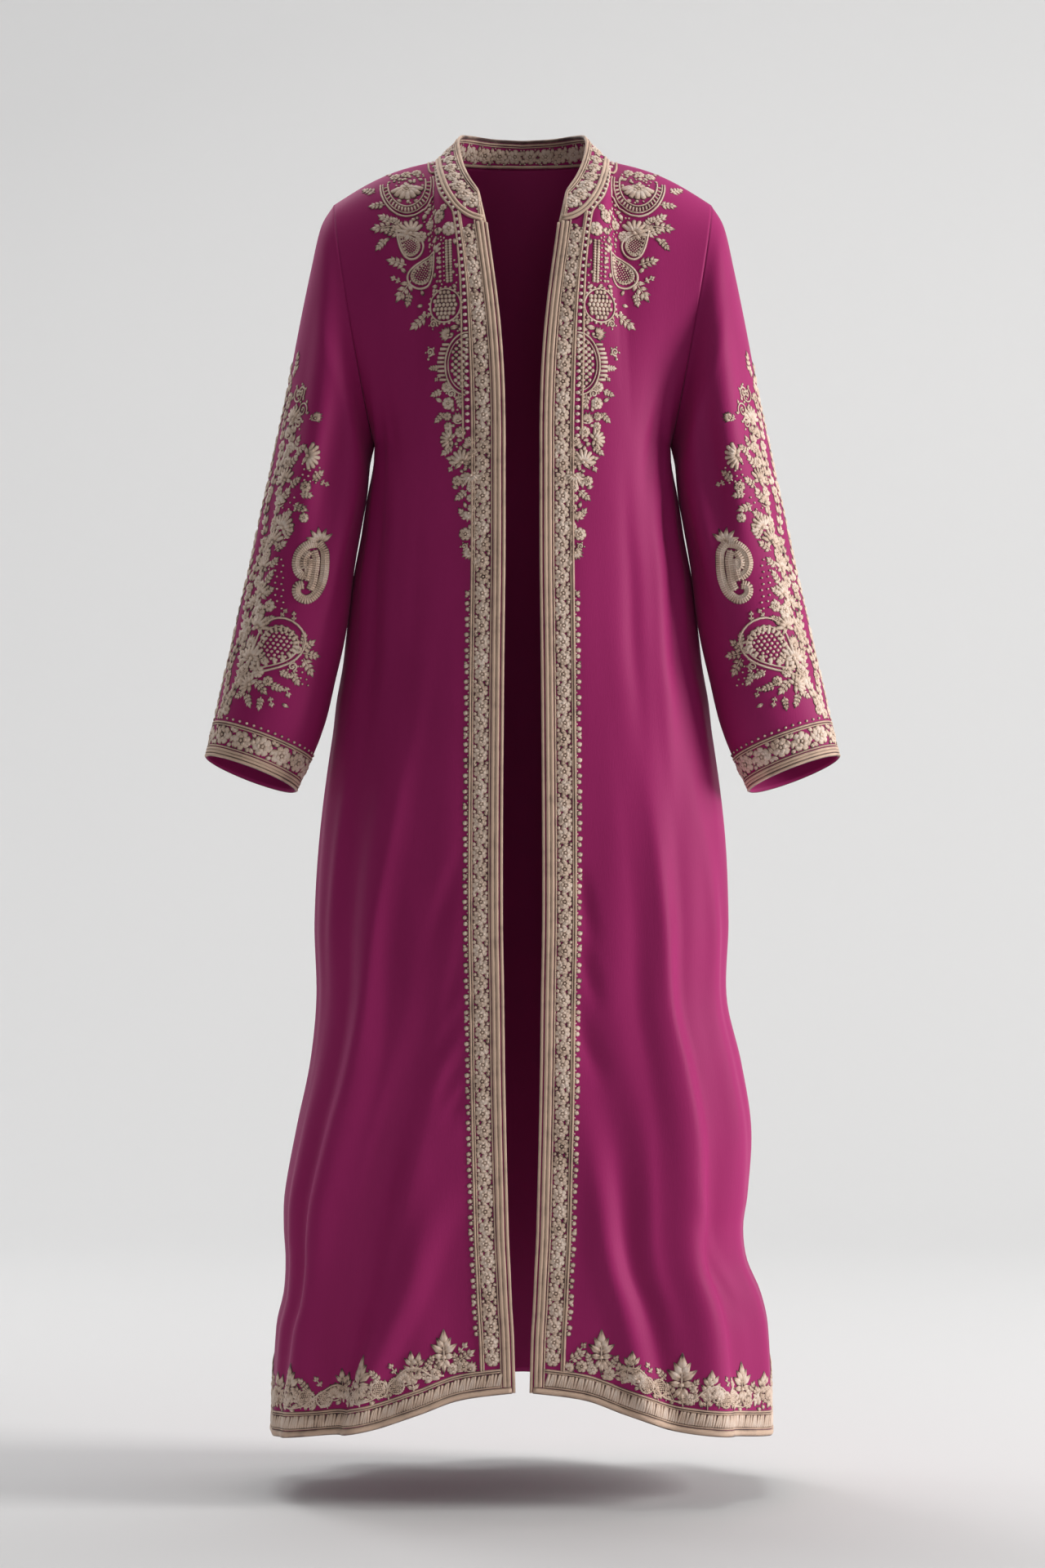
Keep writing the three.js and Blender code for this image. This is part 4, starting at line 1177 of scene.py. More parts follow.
def thread_material(name, period, slant, stops, roughness):
    """Cream thread with stitches a period apart, in millimetres, that lean by the slant."""
    material, tree, shader = principled(name, Roughness=roughness, Sheen_Weight=0.25, Specular_IOR_Level=0.4)
    places = tree.nodes.new("ShaderNodeUVMap")
    places.uv_map = "thread"
    split = tree.nodes.new("ShaderNodeSeparateXYZ")
    tree.links.new(places.outputs["UV"], split.inputs["Vector"])
    aside = math_node(tree, "MULTIPLY", math_node(tree, "ABSOLUTE", split.outputs["X"], 0.0), slant)
    along = math_node(tree, "SUBTRACT", split.outputs["Y"], aside)
    wave = math_node(tree, "SINE", math_node(tree, "MULTIPLY", along, 2 * math.pi / period), 0.0)
    coordinates = tree.nodes.new("ShaderNodeTexCoord").outputs["Object"]
    cloud = noise(tree, coordinates, 60, 4)
    heights = tree.nodes.new("ShaderNodeUVMap")
    heights.uv_map = "relief"
    split_height = tree.nodes.new("ShaderNodeSeparateXYZ")
    tree.links.new(heights.outputs["UV"], split_height.inputs["Vector"])
    # The share of the height paints shade low on each form and a highlight on its top
    height_shade_and_highlight = math_node(tree, "MULTIPLY", split_height.outputs["X"], 0.55)
    faint_wave = math_node(tree, "MULTIPLY", wave, 0.05)
    textured = math_node(tree, "ADD", math_node(tree, "MULTIPLY", cloud, 0.7), faint_wave)
    shade = math_node(tree, "ADD", textured, height_shade_and_highlight)
    tree.links.new(colour_ramp(tree, shade, stops), shader.inputs["Base Color"])
    bump(tree, shader, wave, 0.55, 0.0003)
    return material


# The ramps run from painted shade at the foot, through the thread's own cream, to a painted highlight on top.
# The pale ramp is also a paler thread, and the braid's ramp has no highlight.
satin_stops = [(0.48, THREAD_PAINTED_SHADE), (0.7, THREAD_MIDDLE), (0.95, THREAD_PALE_AND_HIGHLIGHT)]
pale_stops = [(0.25, THREAD_MIDDLE), (0.6, THREAD_PALE_AND_HIGHLIGHT)]
braid_stops = [(0.36, THREAD_PAINTED_SHADE), (0.85, THREAD_MIDDLE)]
satin = thread_material("satin_stitch", 0.9, 0.8, satin_stops, 0.5)
pale_satin = thread_material("pale_stitch", 0.9, 0.8, pale_stops, 0.45)
braid_thread = thread_material("braid_thread", 1.5, 1.0, braid_stops, 0.6)
print("threads:", satin.name, pale_satin.name, braid_thread.name)

# %% [markdown]
# ## Cords, braids and the satin strip of every edge
# Every border is built from its edge inwards: a smooth cord bound over the edge, a flat braid with two
# ribs, a fine cord, a strip of flowers, another fine cord, and a row of small buds that points at the
# plain cloth. The cords turn the corner at the hem and run on round the collar.

# %% Front edges
EDGE_CORD_RADIUS = 1.8
# t, start, width, height, section
FRONT_CORDS = [
    (5.6, 7.0, 9.0, 1.5, "braid"),
    (11.6, 7.0, 1.5, 1.2, "fine"),
    (30.2, 26.0, 1.5, 1.2, "fine"),
    (32.8, 26.0, 2.4, 1.6, "fine"),
]


def along_chart(chart, t, start=0.0, end=None, step=4.0):
    """A line at one distance from the edge."""
    end = chart.runs[-1] if end is None else end
    return chart_points(chart, np.linspace(start, end, max(2, int((end - start) / step))), t)


def lay_braid(pile, ground, path, width, height, kind, closed=False):
    profile = double_rib(width, height) if kind == "braid" else section(width, height)
    lay_line(pile, ground, path, profile, 0.05, closed=closed)


braids = {side: Pile("front_braid_" + side) for side in ("left", "right")}
for side, pile in braids.items():
    chart = CHARTS["front_" + side]
    for t, start, width, height, kind in FRONT_CORDS:
        lay_braid(pile, "body", along_chart(chart, t, start), width, height, kind)
    edge = along_chart(chart, -EDGE_CORD_RADIUS * 0.9)
    _, outwards = drop("body", edge)
    sweep(pile, edge - outwards * CLOTH_THICKNESS / 2, outwards, round_section(EDGE_CORD_RADIUS))

# %% Flowers of the front borders
ROSE_PETALS = 7


def lay_rose(pile, spot, x, y, size, turn=0.0):
    """A round flower: an outer and an inner ring of petals and a dot."""
    for ring, (petals, reach, wide) in enumerate(((ROSE_PETALS, 0.5, 0.36), (5, 0.3, 0.26))):
        for k in range(petals):
            angle = turn + 360 * (k + 0.5 * ring) / petals
            way = math.radians(angle)
            foot = size * 0.06
            lay_form(
                pile, spot, "petal", x + foot * math.sin(way), y + foot * math.cos(way), angle,
                size * (reach - 0.06), size * wide, 1.0 + 0.8 * ring,
            )
    lay_form(pile, spot, "dot", x, y, 0, size * 0.2, size * 0.2, 2.3)


def lay_leaf_pair(pile, spot, x, y, angle, spread, length, width):
    for way in (-1, 1):
        lay_form(pile, spot, "leaf", x, y, angle + way * spread, length, width, 1.1)


# Leaves round each rose, as shares of the strip's width, of the step, in degrees and of the width
STRIP_LEAVES = [
    (0.47, 0.26, -70, 0.42),
    (-0.47, 0.3, 40, 0.4),
    (-0.14, 0.4, 68, 0.5),
    (0.1, 0.56, -62, 0.46),
    (0.46, 0.66, -150, 0.34),
    (-0.46, 0.74, 150, 0.34),
]
ROSE_STEP = 17.4
STRIP_FROM, STRIP_TO = 12.4, 29.6
BUD_STEP = 8.4
YOKE_ENDS = 985


def lay_front_strip(pile, chart, start, end, low=STRIP_FROM, high=STRIP_TO, step=ROSE_STEP):
    """Roses between leaves, which swap sides from one to the next."""
    middle, wide = (low + high) / 2, high - low
    for k in range(int((end - start) / step)):
        s = start + (k + 0.5) * step
        spot = chart_spot(chart, s, middle)
        way = 1 if k % 2 else -1
        lay_rose(pile, spot, way * wide * 0.03, 0, wide * 0.96, 26.0 * k)
        for x, y, angle, length in STRIP_LEAVES:
            place = way * wide * x, step * y, way * angle
            lay_form(pile, spot, "leaf", *place, wide * length, wide * 0.19, 1.3)
        lay_form(pile, spot, "dot", way * wide * 0.36, step * 0.5, 0, 2.2, 2.2, 1.3)
        lay_form(pile, spot, "dot", -way * wide * 0.4, step * 0.5, 0, 2.2, 2.2, 1.3)


def lay_buds(pile, chart, start, end, t, step=BUD_STEP, size=6.2):
    """Small buds side by side, one leaf each, and a trefoil in every ninth place."""
    for k in range(int((end - start) / step)):
        spot = chart_spot(chart, start + (k + 0.5) * step, t)
        lean = 18 if k % 2 else -14
        lay_form(pile, spot, "petal", -0.4, 0, 90 + lean, size * (1.0 if k % 2 else 0.82), size * 0.7, 1.3)
        lay_form(pile, spot, "dot", 0.6, step * 0.45, 0, 2.1, 2.1, 1.1)
        if k % 9 == 4:
            lay_leaf_pair(pile, spot, size * 0.4, 0, 90, 52, size * 0.85, size * 0.45)


flowers = {side: Pile("front_flowers_" + side) for side in ("left", "right")}
for side, pile in flowers.items():
    chart = CHARTS["front_" + side]
    lay_front_strip(pile, chart, 30.0, chart.runs[-1] - 6)
    lay_buds(pile, chart, 62.0, YOKE_ENDS - 120, 34.2)
    print(pile.name, pile.count, "points")

# %% [markdown]
# ## Hem and cuffs
# The hem has a plain bound edge, a cord, a strip of upright satin stitches and a fine cord, in all about as
# wide as a thumb. Lilies on winding stems stand on it, with fruits and sprigs between them. The cuff has
# the same binding, a braid, a strip of flowers and a row of dots.

# %% Motifs of the hem


def lay_palmette(pile, spot, x, y, angle, size, leaves=7):
    """A fan of pointed leaves over two small curls."""
    for k in range(leaves):
        lean = (k - (leaves - 1) / 2) * 150 / (leaves - 1)
        reach = size * (0.62 - 0.002 * abs(lean))
        lay_form(pile, spot, "leaf", x, y + size * 0.18, angle + lean, reach, size * 0.21, 1.6)
    lay_form(pile, spot, "dot", x, y + size * 0.16, 0, size * 0.2, size * 0.2, 2.0)
    for way in (-1, 1):
        curl = [(x, y), (x + way * size * 0.16, y + size * 0.02), (x + way * size * 0.3, y + size * 0.12)]
        lay_stroke(pile, spot, curl, 1.8, 1.2)


def lay_sprig(pile, spot, x, y, angle, length, pairs=3):
    """A stem with pairs of leaves and one at its tip."""
    way = math.radians(angle)
    ahead = np.array([math.sin(way), math.cos(way)])
    foot = np.array([x, y])
    lay_stroke(pile, spot, [foot, foot + ahead * length * 0.4, foot + ahead * length * 0.7], 1.2, 1.0)
    for k in range(pairs):
        at = foot + ahead * length * (0.14 + 0.42 * k / max(1, pairs - 1))
        leaf = length * (0.36 - 0.02 * k)
        lay_leaf_pair(pile, spot, *at, angle, 54 - 6 * k, leaf, leaf * 0.42)
    at = foot + ahead * length * 0.62
    lay_form(pile, spot, "leaf", *at, angle, length * 0.38, length * 0.17, 1.5)


def lay_scroll(pile, spot, x, y, angle, size, hand=1):
    """A stem that winds into a spiral with a flower in it."""
    turns = np.linspace(0, 1.35 * 2 * math.pi, 22)
    radius = size * 0.5 * (1 - turns / turns[-1] * 0.72)
    start = math.radians(angle)
    line = np.stack([x + hand * radius * np.sin(turns + start), y - radius * np.cos(turns + start)], axis=1)
    lay_stroke(pile, spot, line, 1.9, 1.3, tapered=False)
    lay_form(pile, spot, "dot", x, y, 0, size * 0.22, size * 0.22, 1.8)
    for k in range(5):
        turn = 360 * k / 5 + angle
        way = math.radians(turn)
        at = (x + hand * size * 0.5 * math.sin(way), y - size * 0.5 * math.cos(way))
        lay_form(pile, spot, "leaf", *at, 180 - hand * turn - 40, size * 0.3, size * 0.14, 1.2)


# t, start, width, height
HEM_CORDS = [(3.2, 0.5, 6.4, 1.6), (8.0, 12.5, 1.4, 1.0), (23.6, 12.5, 1.4, 1.2), (26.0, 12.5, 1.8, 1.5)]
SATIN_BAR_STEP, SATIN_BAR_FROM, SATIN_BAR_LENGTH = 2.7, 9.2, 13.6
HEM_LILY_STEP = 92.0


def hem_line(t, start):
    """One line round the whole hem, from the left front edge round the back to the right one."""
    left, back, right = (CHARTS["hem_" + part] for part in ("left", "back", "right"))
    lines = [along_chart(left, t, start), along_chart(back, t)[1:], along_chart(right, t, start)[::-1][1:]]
    return np.concatenate(lines)


def lay_hem_bars(pile, chart, start, end):
    for k in range(int((end - start) / SATIN_BAR_STEP)):
        spot = chart_spot(chart, start + (k + 0.5) * SATIN_BAR_STEP, SATIN_BAR_FROM, upright=True)
        lean = 14 + 6 * math.sin(k * 1.7)
        lay_form(pile, spot, "bar", 0, 0, lean, SATIN_BAR_LENGTH, 3.4, 1.5)


# height of the foot, degrees from up, length and width, as shares of the lily's size
LILY_LEAVES = [
    (0.16, 0, 0.38, 0.17), (0.1, 32, 0.3, 0.15), (0.02, 56, 0.35, 0.16), (-0.06, 84, 0.26, 0.13),
    (-0.1, 180, 0.34, 0.12), (-0.1, 148, 0.28, 0.11),
]


def lay_lily(pile, spot, y, size):
    """A standing lily: a tip, three pairs of lobes on a stem, a knot and three leaves that hang down."""
    lay_stroke(pile, spot, [(0, y - 0.3 * size), (0, y), (0, y + 0.3 * size)], 1.8, 1.4)
    for foot, lean, reach, wide in LILY_LEAVES:
        for way in (-1, 1) if 0 < lean < 180 else (1,):
            lay_form(pile, spot, "leaf", 0, y + foot * size, way * lean, size * reach, size * wide, 1.9)
    lay_form(pile, spot, "dot", 0, y - 0.07 * size, 0, size * 0.11, size * 0.11, 2.6)


# What stands between two lilies: share of the way, height above the band, motif, degrees, size
HEM_BED = [
    (0.1, 9, "rose", 0, 13),
    (0.16, 25, "sprig", 34, 18),
    (0.32, 24, "sprig", 10, 34),
    (0.38, 26, "sprig", -4, 36),
    (0.46, 18, "palmette", 8, 25),
    (0.56, 12, "fruit", 0, 18),
    (0.6, 32, "twig", -30, 14),
    (0.74, 14, "fruit", 0, 19),
    (0.78, 30, "sprig", -40, 18),
    (0.88, 14, "sprig", -24, 24),
]
# Beside the front border: distance from the front edge, height above the band, motif, degrees, size
HEM_CORNER = [
    (41, 5, "palmette", 40, 16),
    (52, 8, "rose", 0, 13),
    (48, 19, "sprig", 58, 22),
    (60, 18, "sprig", -18, 16),
    (60, 4, "leaf", 70, 10),
    (64, 8, "rose", 0, 12),
    (52, 28, "twig", 40, 15),
]
THICKET_STEP, SPRIG_STEP = 5.0, 14.5


# Heights of the feet above the edge: lilies and their bed, the thicket of leaves, the sprigs
LILY_FOOT, THICKET_FOOT, SPRIG_FOOT = 27.0, 27.5, 38.0
# The winding stem between two lilies: share of the way, height above the lilies' feet
HEM_STEM = [(0, 4), (0.14, 9), (0.3, 22), (0.45, 26), (0.6, 18), (0.8, 6), (1, 4)]


def lay_hem_garden(pile, chart, start, end, seed):
    """Lilies on winding stems with fruits and sprigs between them, over a close thicket of leaves."""
    chance = np.random.default_rng(seed)
    count = max(2, round((end - start) / HEM_LILY_STEP))
    step = (end - start) / count
    for k in range(count + 1):
        spot = chart_spot(chart, start + k * step, LILY_FOOT, upright=True)
        lay_lily(pile, spot, LILY_FOOT, 50 if k % 2 == 0 else 58)
        if k == count:
            continue
        run = [start + (k + along) * step for along, _ in HEM_STEM]
        line = chart_points(chart, run, [LILY_FOOT + up for _, up in HEM_STEM])
        lay_line(pile, "body", catmull_rom(line, 8), section(1.9, 1.5, 5), step=3.0)
        for share, up, kind, angle, size in HEM_BED:
            spot = chart_spot(chart, start + (k + share) * step, LILY_FOOT + up, upright=True)
            MOTIFS[kind](pile, spot, angle, size)
    for k in range(int((end - start) / THICKET_STEP)):
        up = THICKET_FOOT + 15 * float(chance.uniform(0, 1)) ** 1.5
        spot = chart_spot(chart, start + (k + 0.5) * THICKET_STEP, up, upright=True)
        lean, length = float(chance.uniform(-70, 70)), float(chance.uniform(7, 12))
        lay_form(pile, spot, "leaf", 0, 0, lean, length, 4.0, 1.4)
        if k % 2:
            lay_form(pile, spot, "dot", 2.6, 8, 0, 2.4, 2.4, 1.3)
    for k in range(int((end - start) / SPRIG_STEP)):
        up = SPRIG_FOOT + 8 * float(chance.uniform(0, 1))
        spot = chart_spot(chart, start + (k + 0.5) * SPRIG_STEP, up, upright=True)
        MOTIFS["sprig"](pile, spot, float(chance.uniform(-16, 16)), float(chance.uniform(18, 26)))


# %% Cuffs
# t, width, height, section
CUFF_CORDS = [
    (1.6, 3.2, 1.9, "fine"),
    (7.0, 6.6, 1.5, "braid"),
    (12.0, 1.4, 1.2, "fine"),
    (36.0, 1.4, 1.2, "fine"),
    (38.6, 1.8, 1.4, "fine"),
]
CUFF_STRIP, CUFF_ROSE_STEP = (13.0, 35.5), 22.0
CUFF_DOT_T, CUFF_DOT_STEP, CUFF_DOT = 43.0, 7.5, 3.4
cuff_braid, cuff_flowers = {}, {}
for side in ("left", "right"):
    chart = CHARTS["cuff_" + side]
    cuff_braid[side], cuff_flowers[side] = Pile("cuff_braid_" + side), Pile("cuff_flowers_" + side)
    for t, width, height, kind in CUFF_CORDS:
        lay_braid(cuff_braid[side], "sleeve_" + side, along_chart(chart, t), width, height, kind, closed=True)
    around = chart.runs[-1]
    strip_step = around / round(around / CUFF_ROSE_STEP)
    lay_front_strip(cuff_flowers[side], chart, 0, around + 0.01, *CUFF_STRIP, strip_step)
    for k in range(round(around / CUFF_DOT_STEP)):
        spot = chart_spot(chart, k * CUFF_DOT_STEP, CUFF_DOT_T, upright=True)
        lay_form(cuff_flowers[side], spot, "dot", 0, 0, 0, CUFF_DOT, CUFF_DOT, 1.6)
    print(cuff_flowers[side].name, cuff_flowers[side].count, "points")

# %% [markdown]
# ## Collar and neck ring
# The collar carries flowers on both faces, because its far inner side shows from the front. Fine cords run
# inside its thick edge cord, and a braid covers its seam. Outside the seam a plain ring of cloth is left
# between two cords, with a dot in every few millimetres, and it runs on down the chest beside the border.

# %% Collar
collar_braid, collar_flowers = Pile("collar_cords"), Pile("collar_flowers")
collar_points = sheets["collar"].points
collar_height = CHARTS["collar"].depths[:, -1]
COLLAR_BRAID_WIDTH, RIM_CORD_RADIUS = 8.0, 2.1
# distance from the rim, width, height
COLLAR_CORDS = [(3.6, 2.0, 1.3), (6.2, 1.1, 0.9)]


def rounded_rim():
    """The line up the left front end, round the top edge and down the right front end."""
    up, top, down = collar_points[:, 0], collar_points[-1], collar_points[::-1, -1]
    rim = evened(np.concatenate([up, top[1:], down[1:]]), 3.0)
    return smoothed(rim, 3)


rim = rounded_rim()
_, rim_outwards = drop("collar", rim)
rim_outwards = unit(smoothed(rim_outwards, 4))
middle = rim - rim_outwards * COLLAR_THICKNESS / 2
sweep(collar_braid, middle, rim_outwards, round_section(RIM_CORD_RADIUS))


def inside_rim(distance):
    """A line on the collar at a distance from its rim, up one end and down the other."""
    chart = CHARTS["collar"]
    length = chart.runs[-1]
    s_up = np.full(8, distance)
    t_up = np.linspace(6, float(np.interp(distance, chart.runs, collar_height)) - distance, 8)
    s_top = np.linspace(distance, length - distance, 150)[1:-1]
    t_top = np.interp(s_top, chart.runs, collar_height) - distance
    s_all = np.concatenate([s_up, s_top, length - s_up])
    t_all = np.concatenate([t_up, t_top, t_up[::-1]])
    return chart_points(chart, s_all, t_all)


for distance, width, height in COLLAR_CORDS:
    for face in ("collar", "collar_inside"):
        lay_line(collar_braid, face, inside_rim(distance), section(width, height), 0.05, step=3.0)
base_line = along_chart(CHARTS["collar"], 4.6, 1.0, CHARTS["collar"].runs[-1] - 1.0)
lay_braid(collar_braid, "collar", base_line, COLLAR_BRAID_WIDTH, 1.6, "braid")
lay_line(collar_braid, "collar_inside", along_chart(CHARTS["collar"], 2.6), section(3.0, 1.4), 0.05)


COLLAR_ROSE_STEP = 19.0


def lay_collar_flowers(pile, name, low):
    """Roses and leaves between the braid and the fine cord, as high as the collar is there."""
    chart = CHARTS[name]
    heights = chart.depths[:, -1]
    count = int((chart.runs[-1] - 16) / COLLAR_ROSE_STEP)
    for k in range(count):
        s = 8 + (k + 0.5) * (chart.runs[-1] - 16) / count
        high = float(np.interp(s, chart.runs, heights)) - 7.0
        spot = chart_spot(chart, s, (low + high) / 2, upright=True)
        tall = high - low
        lay_rose(pile, spot, 0, 0, min(tall * 0.86, 18), 20 * k)
        for way in (-1, 1):
            for lift in (-1, 1):
                angle = way * 10 + (0 if lift > 0 else 180)
                lay_form(pile, spot, "leaf", way * 8.8, lift * tall * 0.08, angle, tall * 0.38, 3.6, 1.3)
            for lift in (1, -1):
                lay_form(pile, spot, "dot", way * 6.4, lift * tall * 0.4, 0, 2.2, 2.2, 1.2)


lay_collar_flowers(collar_flowers, "collar", 9.5)
lay_collar_flowers(collar_flowers, "collar_inside", 4.5)
print(collar_flowers.name, collar_flowers.count, "points")

# %% Neck ring
ring_braid, ring_dots = Pile("neck_ring_cords"), Pile("neck_ring_dots")
# Distances from the border's own cords, and how far down the chest the ring comes
RING_DOTS, RING_OUTER, RING_REACH = 2.2, 7.2, 236.0
RING_DOT_STEP, RING_DOT_WIDTH, RING_DOT_LENGTH = 7.7, 5.2, 4.4


def neck_line(distance):
    """The neck seam moved outwards over the shoulders and back, between its two front ends."""
    seam = np.concatenate([front_neck, back_neck[::-1][1:]])
    whole = evened(np.concatenate([seam, (seam * MIRROR)[::-1][1:]]), 5.0)
    ways = unit(np.gradient(whole, axis=0) * [1, 1, 0])
    outward = np.stack([ways[:, 1], -ways[:, 0], 0 * ways[:, 0]], axis=1)
    outward = outward * np.sign(np.sum(outward * whole, axis=1, keepdims=True))
    return drop("body", whole + outward * distance + [0, 0, distance * 0.4])[0]


def beside_border(side, distance, low):
    """A line down the chest beside the border, from the neck."""
    chart = CHARTS["front_" + side]
    top = chart.runs[-1] - distance
    return along_chart(chart, FRONT_BAND + 1.5 + distance, low, top)[::-1]


def chest_and_neck(distance, reach):
    """Up one side of the chest, round the neck and down the other side."""
    left_chart = CHARTS["front_left"]
    low = left_chart.runs[-1] - reach
    left_down, right_down = beside_border("left", distance, low), beside_border("right", distance, low)
    ring = neck_line(distance + 1.5)
    outer = [point for point in ring if not (point[1] < 0 and abs(point[0]) < left_down[0][0] + 2)]
    line = np.concatenate([left_down[::-1], np.array(outer), right_down])
    return smoothed(evened(line, 4.0), 2)


lay_line(ring_braid, "body", chest_and_neck(RING_OUTER, RING_REACH + 4), section(2.2, 1.4), 0.05)
dot_line = evened(chest_and_neck(RING_DOTS, RING_REACH), RING_DOT_STEP)
for place, after in zip(dot_line, dot_line[1:]):
    spot = spot_at("body", place, after - place)
    lay_form(ring_dots, spot, "dot", 0, 0, 0, RING_DOT_LENGTH, RING_DOT_WIDTH, 1.9)
print("ring", len(dot_line), "dots")

# %% [markdown]
# ## Motifs that stand alone
# The chest, the shoulders and the outer sleeves carry the old vocabulary of floral needlework: teardrops
# with a bent tip, round seeded fruits, fans, roses and leafy sprigs. Each motif is drawn once, round its
# own middle, and a table says where it stands on one half of the garment. The other half is its mirror
# image, as an embroiderer turns the same card over.

# %% Motifs


def teardrop(size, bend, shrink=0.0, steps=30):
    """The outline of a drop whose tip leans over."""
    turns = np.linspace(0.04, 2 * math.pi - 0.04, steps)
    half = size * 0.5 - shrink
    x = half * 0.94 * np.sin(turns) * np.sin(turns / 2) ** 1.3
    y = half * np.cos(turns)
    lean = ((y + half) / (2 * half)) ** 2
    return np.stack([x + bend * size * lean, y], axis=1)


def turned(points, angle, x=0.0, y=0.0):
    """Points turned clockwise from up, then moved."""
    way = math.radians(angle)
    points = np.asarray(points, float)
    across = points[:, 0] * math.cos(way) + points[:, 1] * math.sin(way)
    up = points[:, 1] * math.cos(way) - points[:, 0] * math.sin(way)
    return np.stack([across + x, up + y], axis=1)


def lay_paisley(pile, spot, angle, size, bend=0.22):
    """A double outline, a row of bars between, a seeded heart and a curled tip."""
    lay_stroke(pile, spot, turned(teardrop(size, bend), angle), 2.2, 1.5, tapered=False)
    lay_stroke(pile, spot, turned(teardrop(size, bend * 0.8, size * 0.12), angle), 1.4, 1.2, tapered=False)
    outline = teardrop(size, bend, size * 0.1, 26)[2:-2]
    for k, (x, y) in enumerate(outline):
        ahead = outline[min(k + 1, len(outline) - 1)] - outline[max(k - 1, 0)]
        heading = math.degrees(math.atan2(ahead[0], ahead[1])) + 90
        (bar_x, bar_y), = turned([(x, y)], angle)
        lay_form(pile, spot, "bar", bar_x, bar_y, heading + angle, size * 0.09, size * 0.05, 1.3)
    for row in range(-6, 4):
        reach = int(4.4 - abs(row + 2) * 0.7)
        for column in range(-reach, reach + 1):
            x, y = column * size * 0.062, row * size * 0.062 + (column % 2) * size * 0.02
            (x, y), = turned([(x + bend * size * ((y / size) + 0.5) ** 2 * 0.8, y)], angle)
            lay_form(pile, spot, "dot", x, y, 0, size * 0.05, size * 0.05, 1.3)
    (x, y), = turned([(bend * size * 1.05, size * 0.5)], angle)
    lay_leaf_pair(pile, spot, x, y, angle + 20, 40, size * 0.22, size * 0.09)
    lay_form(pile, spot, "leaf", x, y, angle + 20, size * 0.26, size * 0.11, 1.5)


def lay_roll(pile, spot, points, width, step=2.3):
    """A padded roll: short bars side by side across a line."""
    line = evened(np.column_stack([points, np.zeros(len(points))]), step)[:, :2]
    for before, at, after in zip(line, line[1:], line[2:]):
        ahead = after - before
        across = np.array([ahead[1], -ahead[0]]) / np.linalg.norm(ahead)
        foot = at - across * width / 2
        heading = math.degrees(math.atan2(across[0], across[1]))
        lay_form(pile, spot, "bar", *foot, heading, width, step * 1.15, 1.9)


# The thick comma of the sleeve: rolls that lie side by side, each with its width, as shares of its size
COMMA_ROLLS = [
    (0.12, [(0.08, 0.4), (0.18, 0.28), (0.21, 0.08), (0.2, -0.14), (0.13, -0.33), (0.0, -0.43),
            (-0.13, -0.38), (-0.15, -0.26), (-0.05, -0.22)]),
    (0.12, [(0.08, 0.38), (-0.05, 0.34), (-0.17, 0.22), (-0.2, 0.06), (-0.14, -0.07), (-0.04, -0.12)]),
    (0.11, [(0.03, 0.28), (0.08, 0.14), (0.08, -0.02), (0.07, -0.18), (0.03, -0.3)]),
    (0.1, [(-0.02, 0.16), (-0.01, 0.04), (-0.02, -0.1), (-0.04, -0.17)]),
    (0.1, [(-0.02, 0.26), (-0.09, 0.12), (-0.06, 0.0), (0.0, 0.08)]),
]


def lay_curled_paisley(pile, spot, angle, size):
    """A thick comma of padded rolls with a small leafy crown."""
    for width, shape in COMMA_ROLLS:
        points = turned(np.array(shape) * size, angle)
        curve = catmull_rom([(*point, 0.0) for point in points], 8)[:, :2]
        lay_roll(pile, spot, curve, size * width)
        lay_stroke(pile, spot, curve, 1.0, 2.4, tapered=False)
    (x, y), = turned([(0.11 * size, 0.4 * size)], angle)
    for lean in (-80, -45, -12, 20, 50):
        lay_form(pile, spot, "leaf", x, y, angle + lean, size * 0.22, size * 0.08, 1.7)


def lay_fruit(pile, spot, size):
    """A round fruit: a rim of small scallops round close rows of seeds."""
    turns = np.linspace(0, 2 * math.pi, 28)
    rim = np.stack([np.sin(turns), np.cos(turns)], axis=1) * size * 0.46
    lay_stroke(pile, spot, rim, 1.8, 1.5, tapered=False)
    for k in range(22):
        way = 2 * math.pi * k / 22
        x, y = size * 0.5 * math.sin(way), size * 0.5 * math.cos(way)
        lay_form(pile, spot, "dot", x, y, 0, size * 0.09, size * 0.09, 1.4)
    rows = 7
    for row in range(rows):
        y = size * 0.8 * ((row + 0.5) / rows - 0.5)
        half = math.sqrt(max(0.0, (size * 0.4) ** 2 - y**2))
        count = max(1, int(2 * half / (size * 0.115)))
        for column in range(count):
            x = (column + 0.5 - count / 2) * size * 0.115
            lean = 20 if row % 2 else -20
            lay_form(pile, spot, "petal", x, y - size * 0.05, lean, size * 0.12, size * 0.1, 1.7)


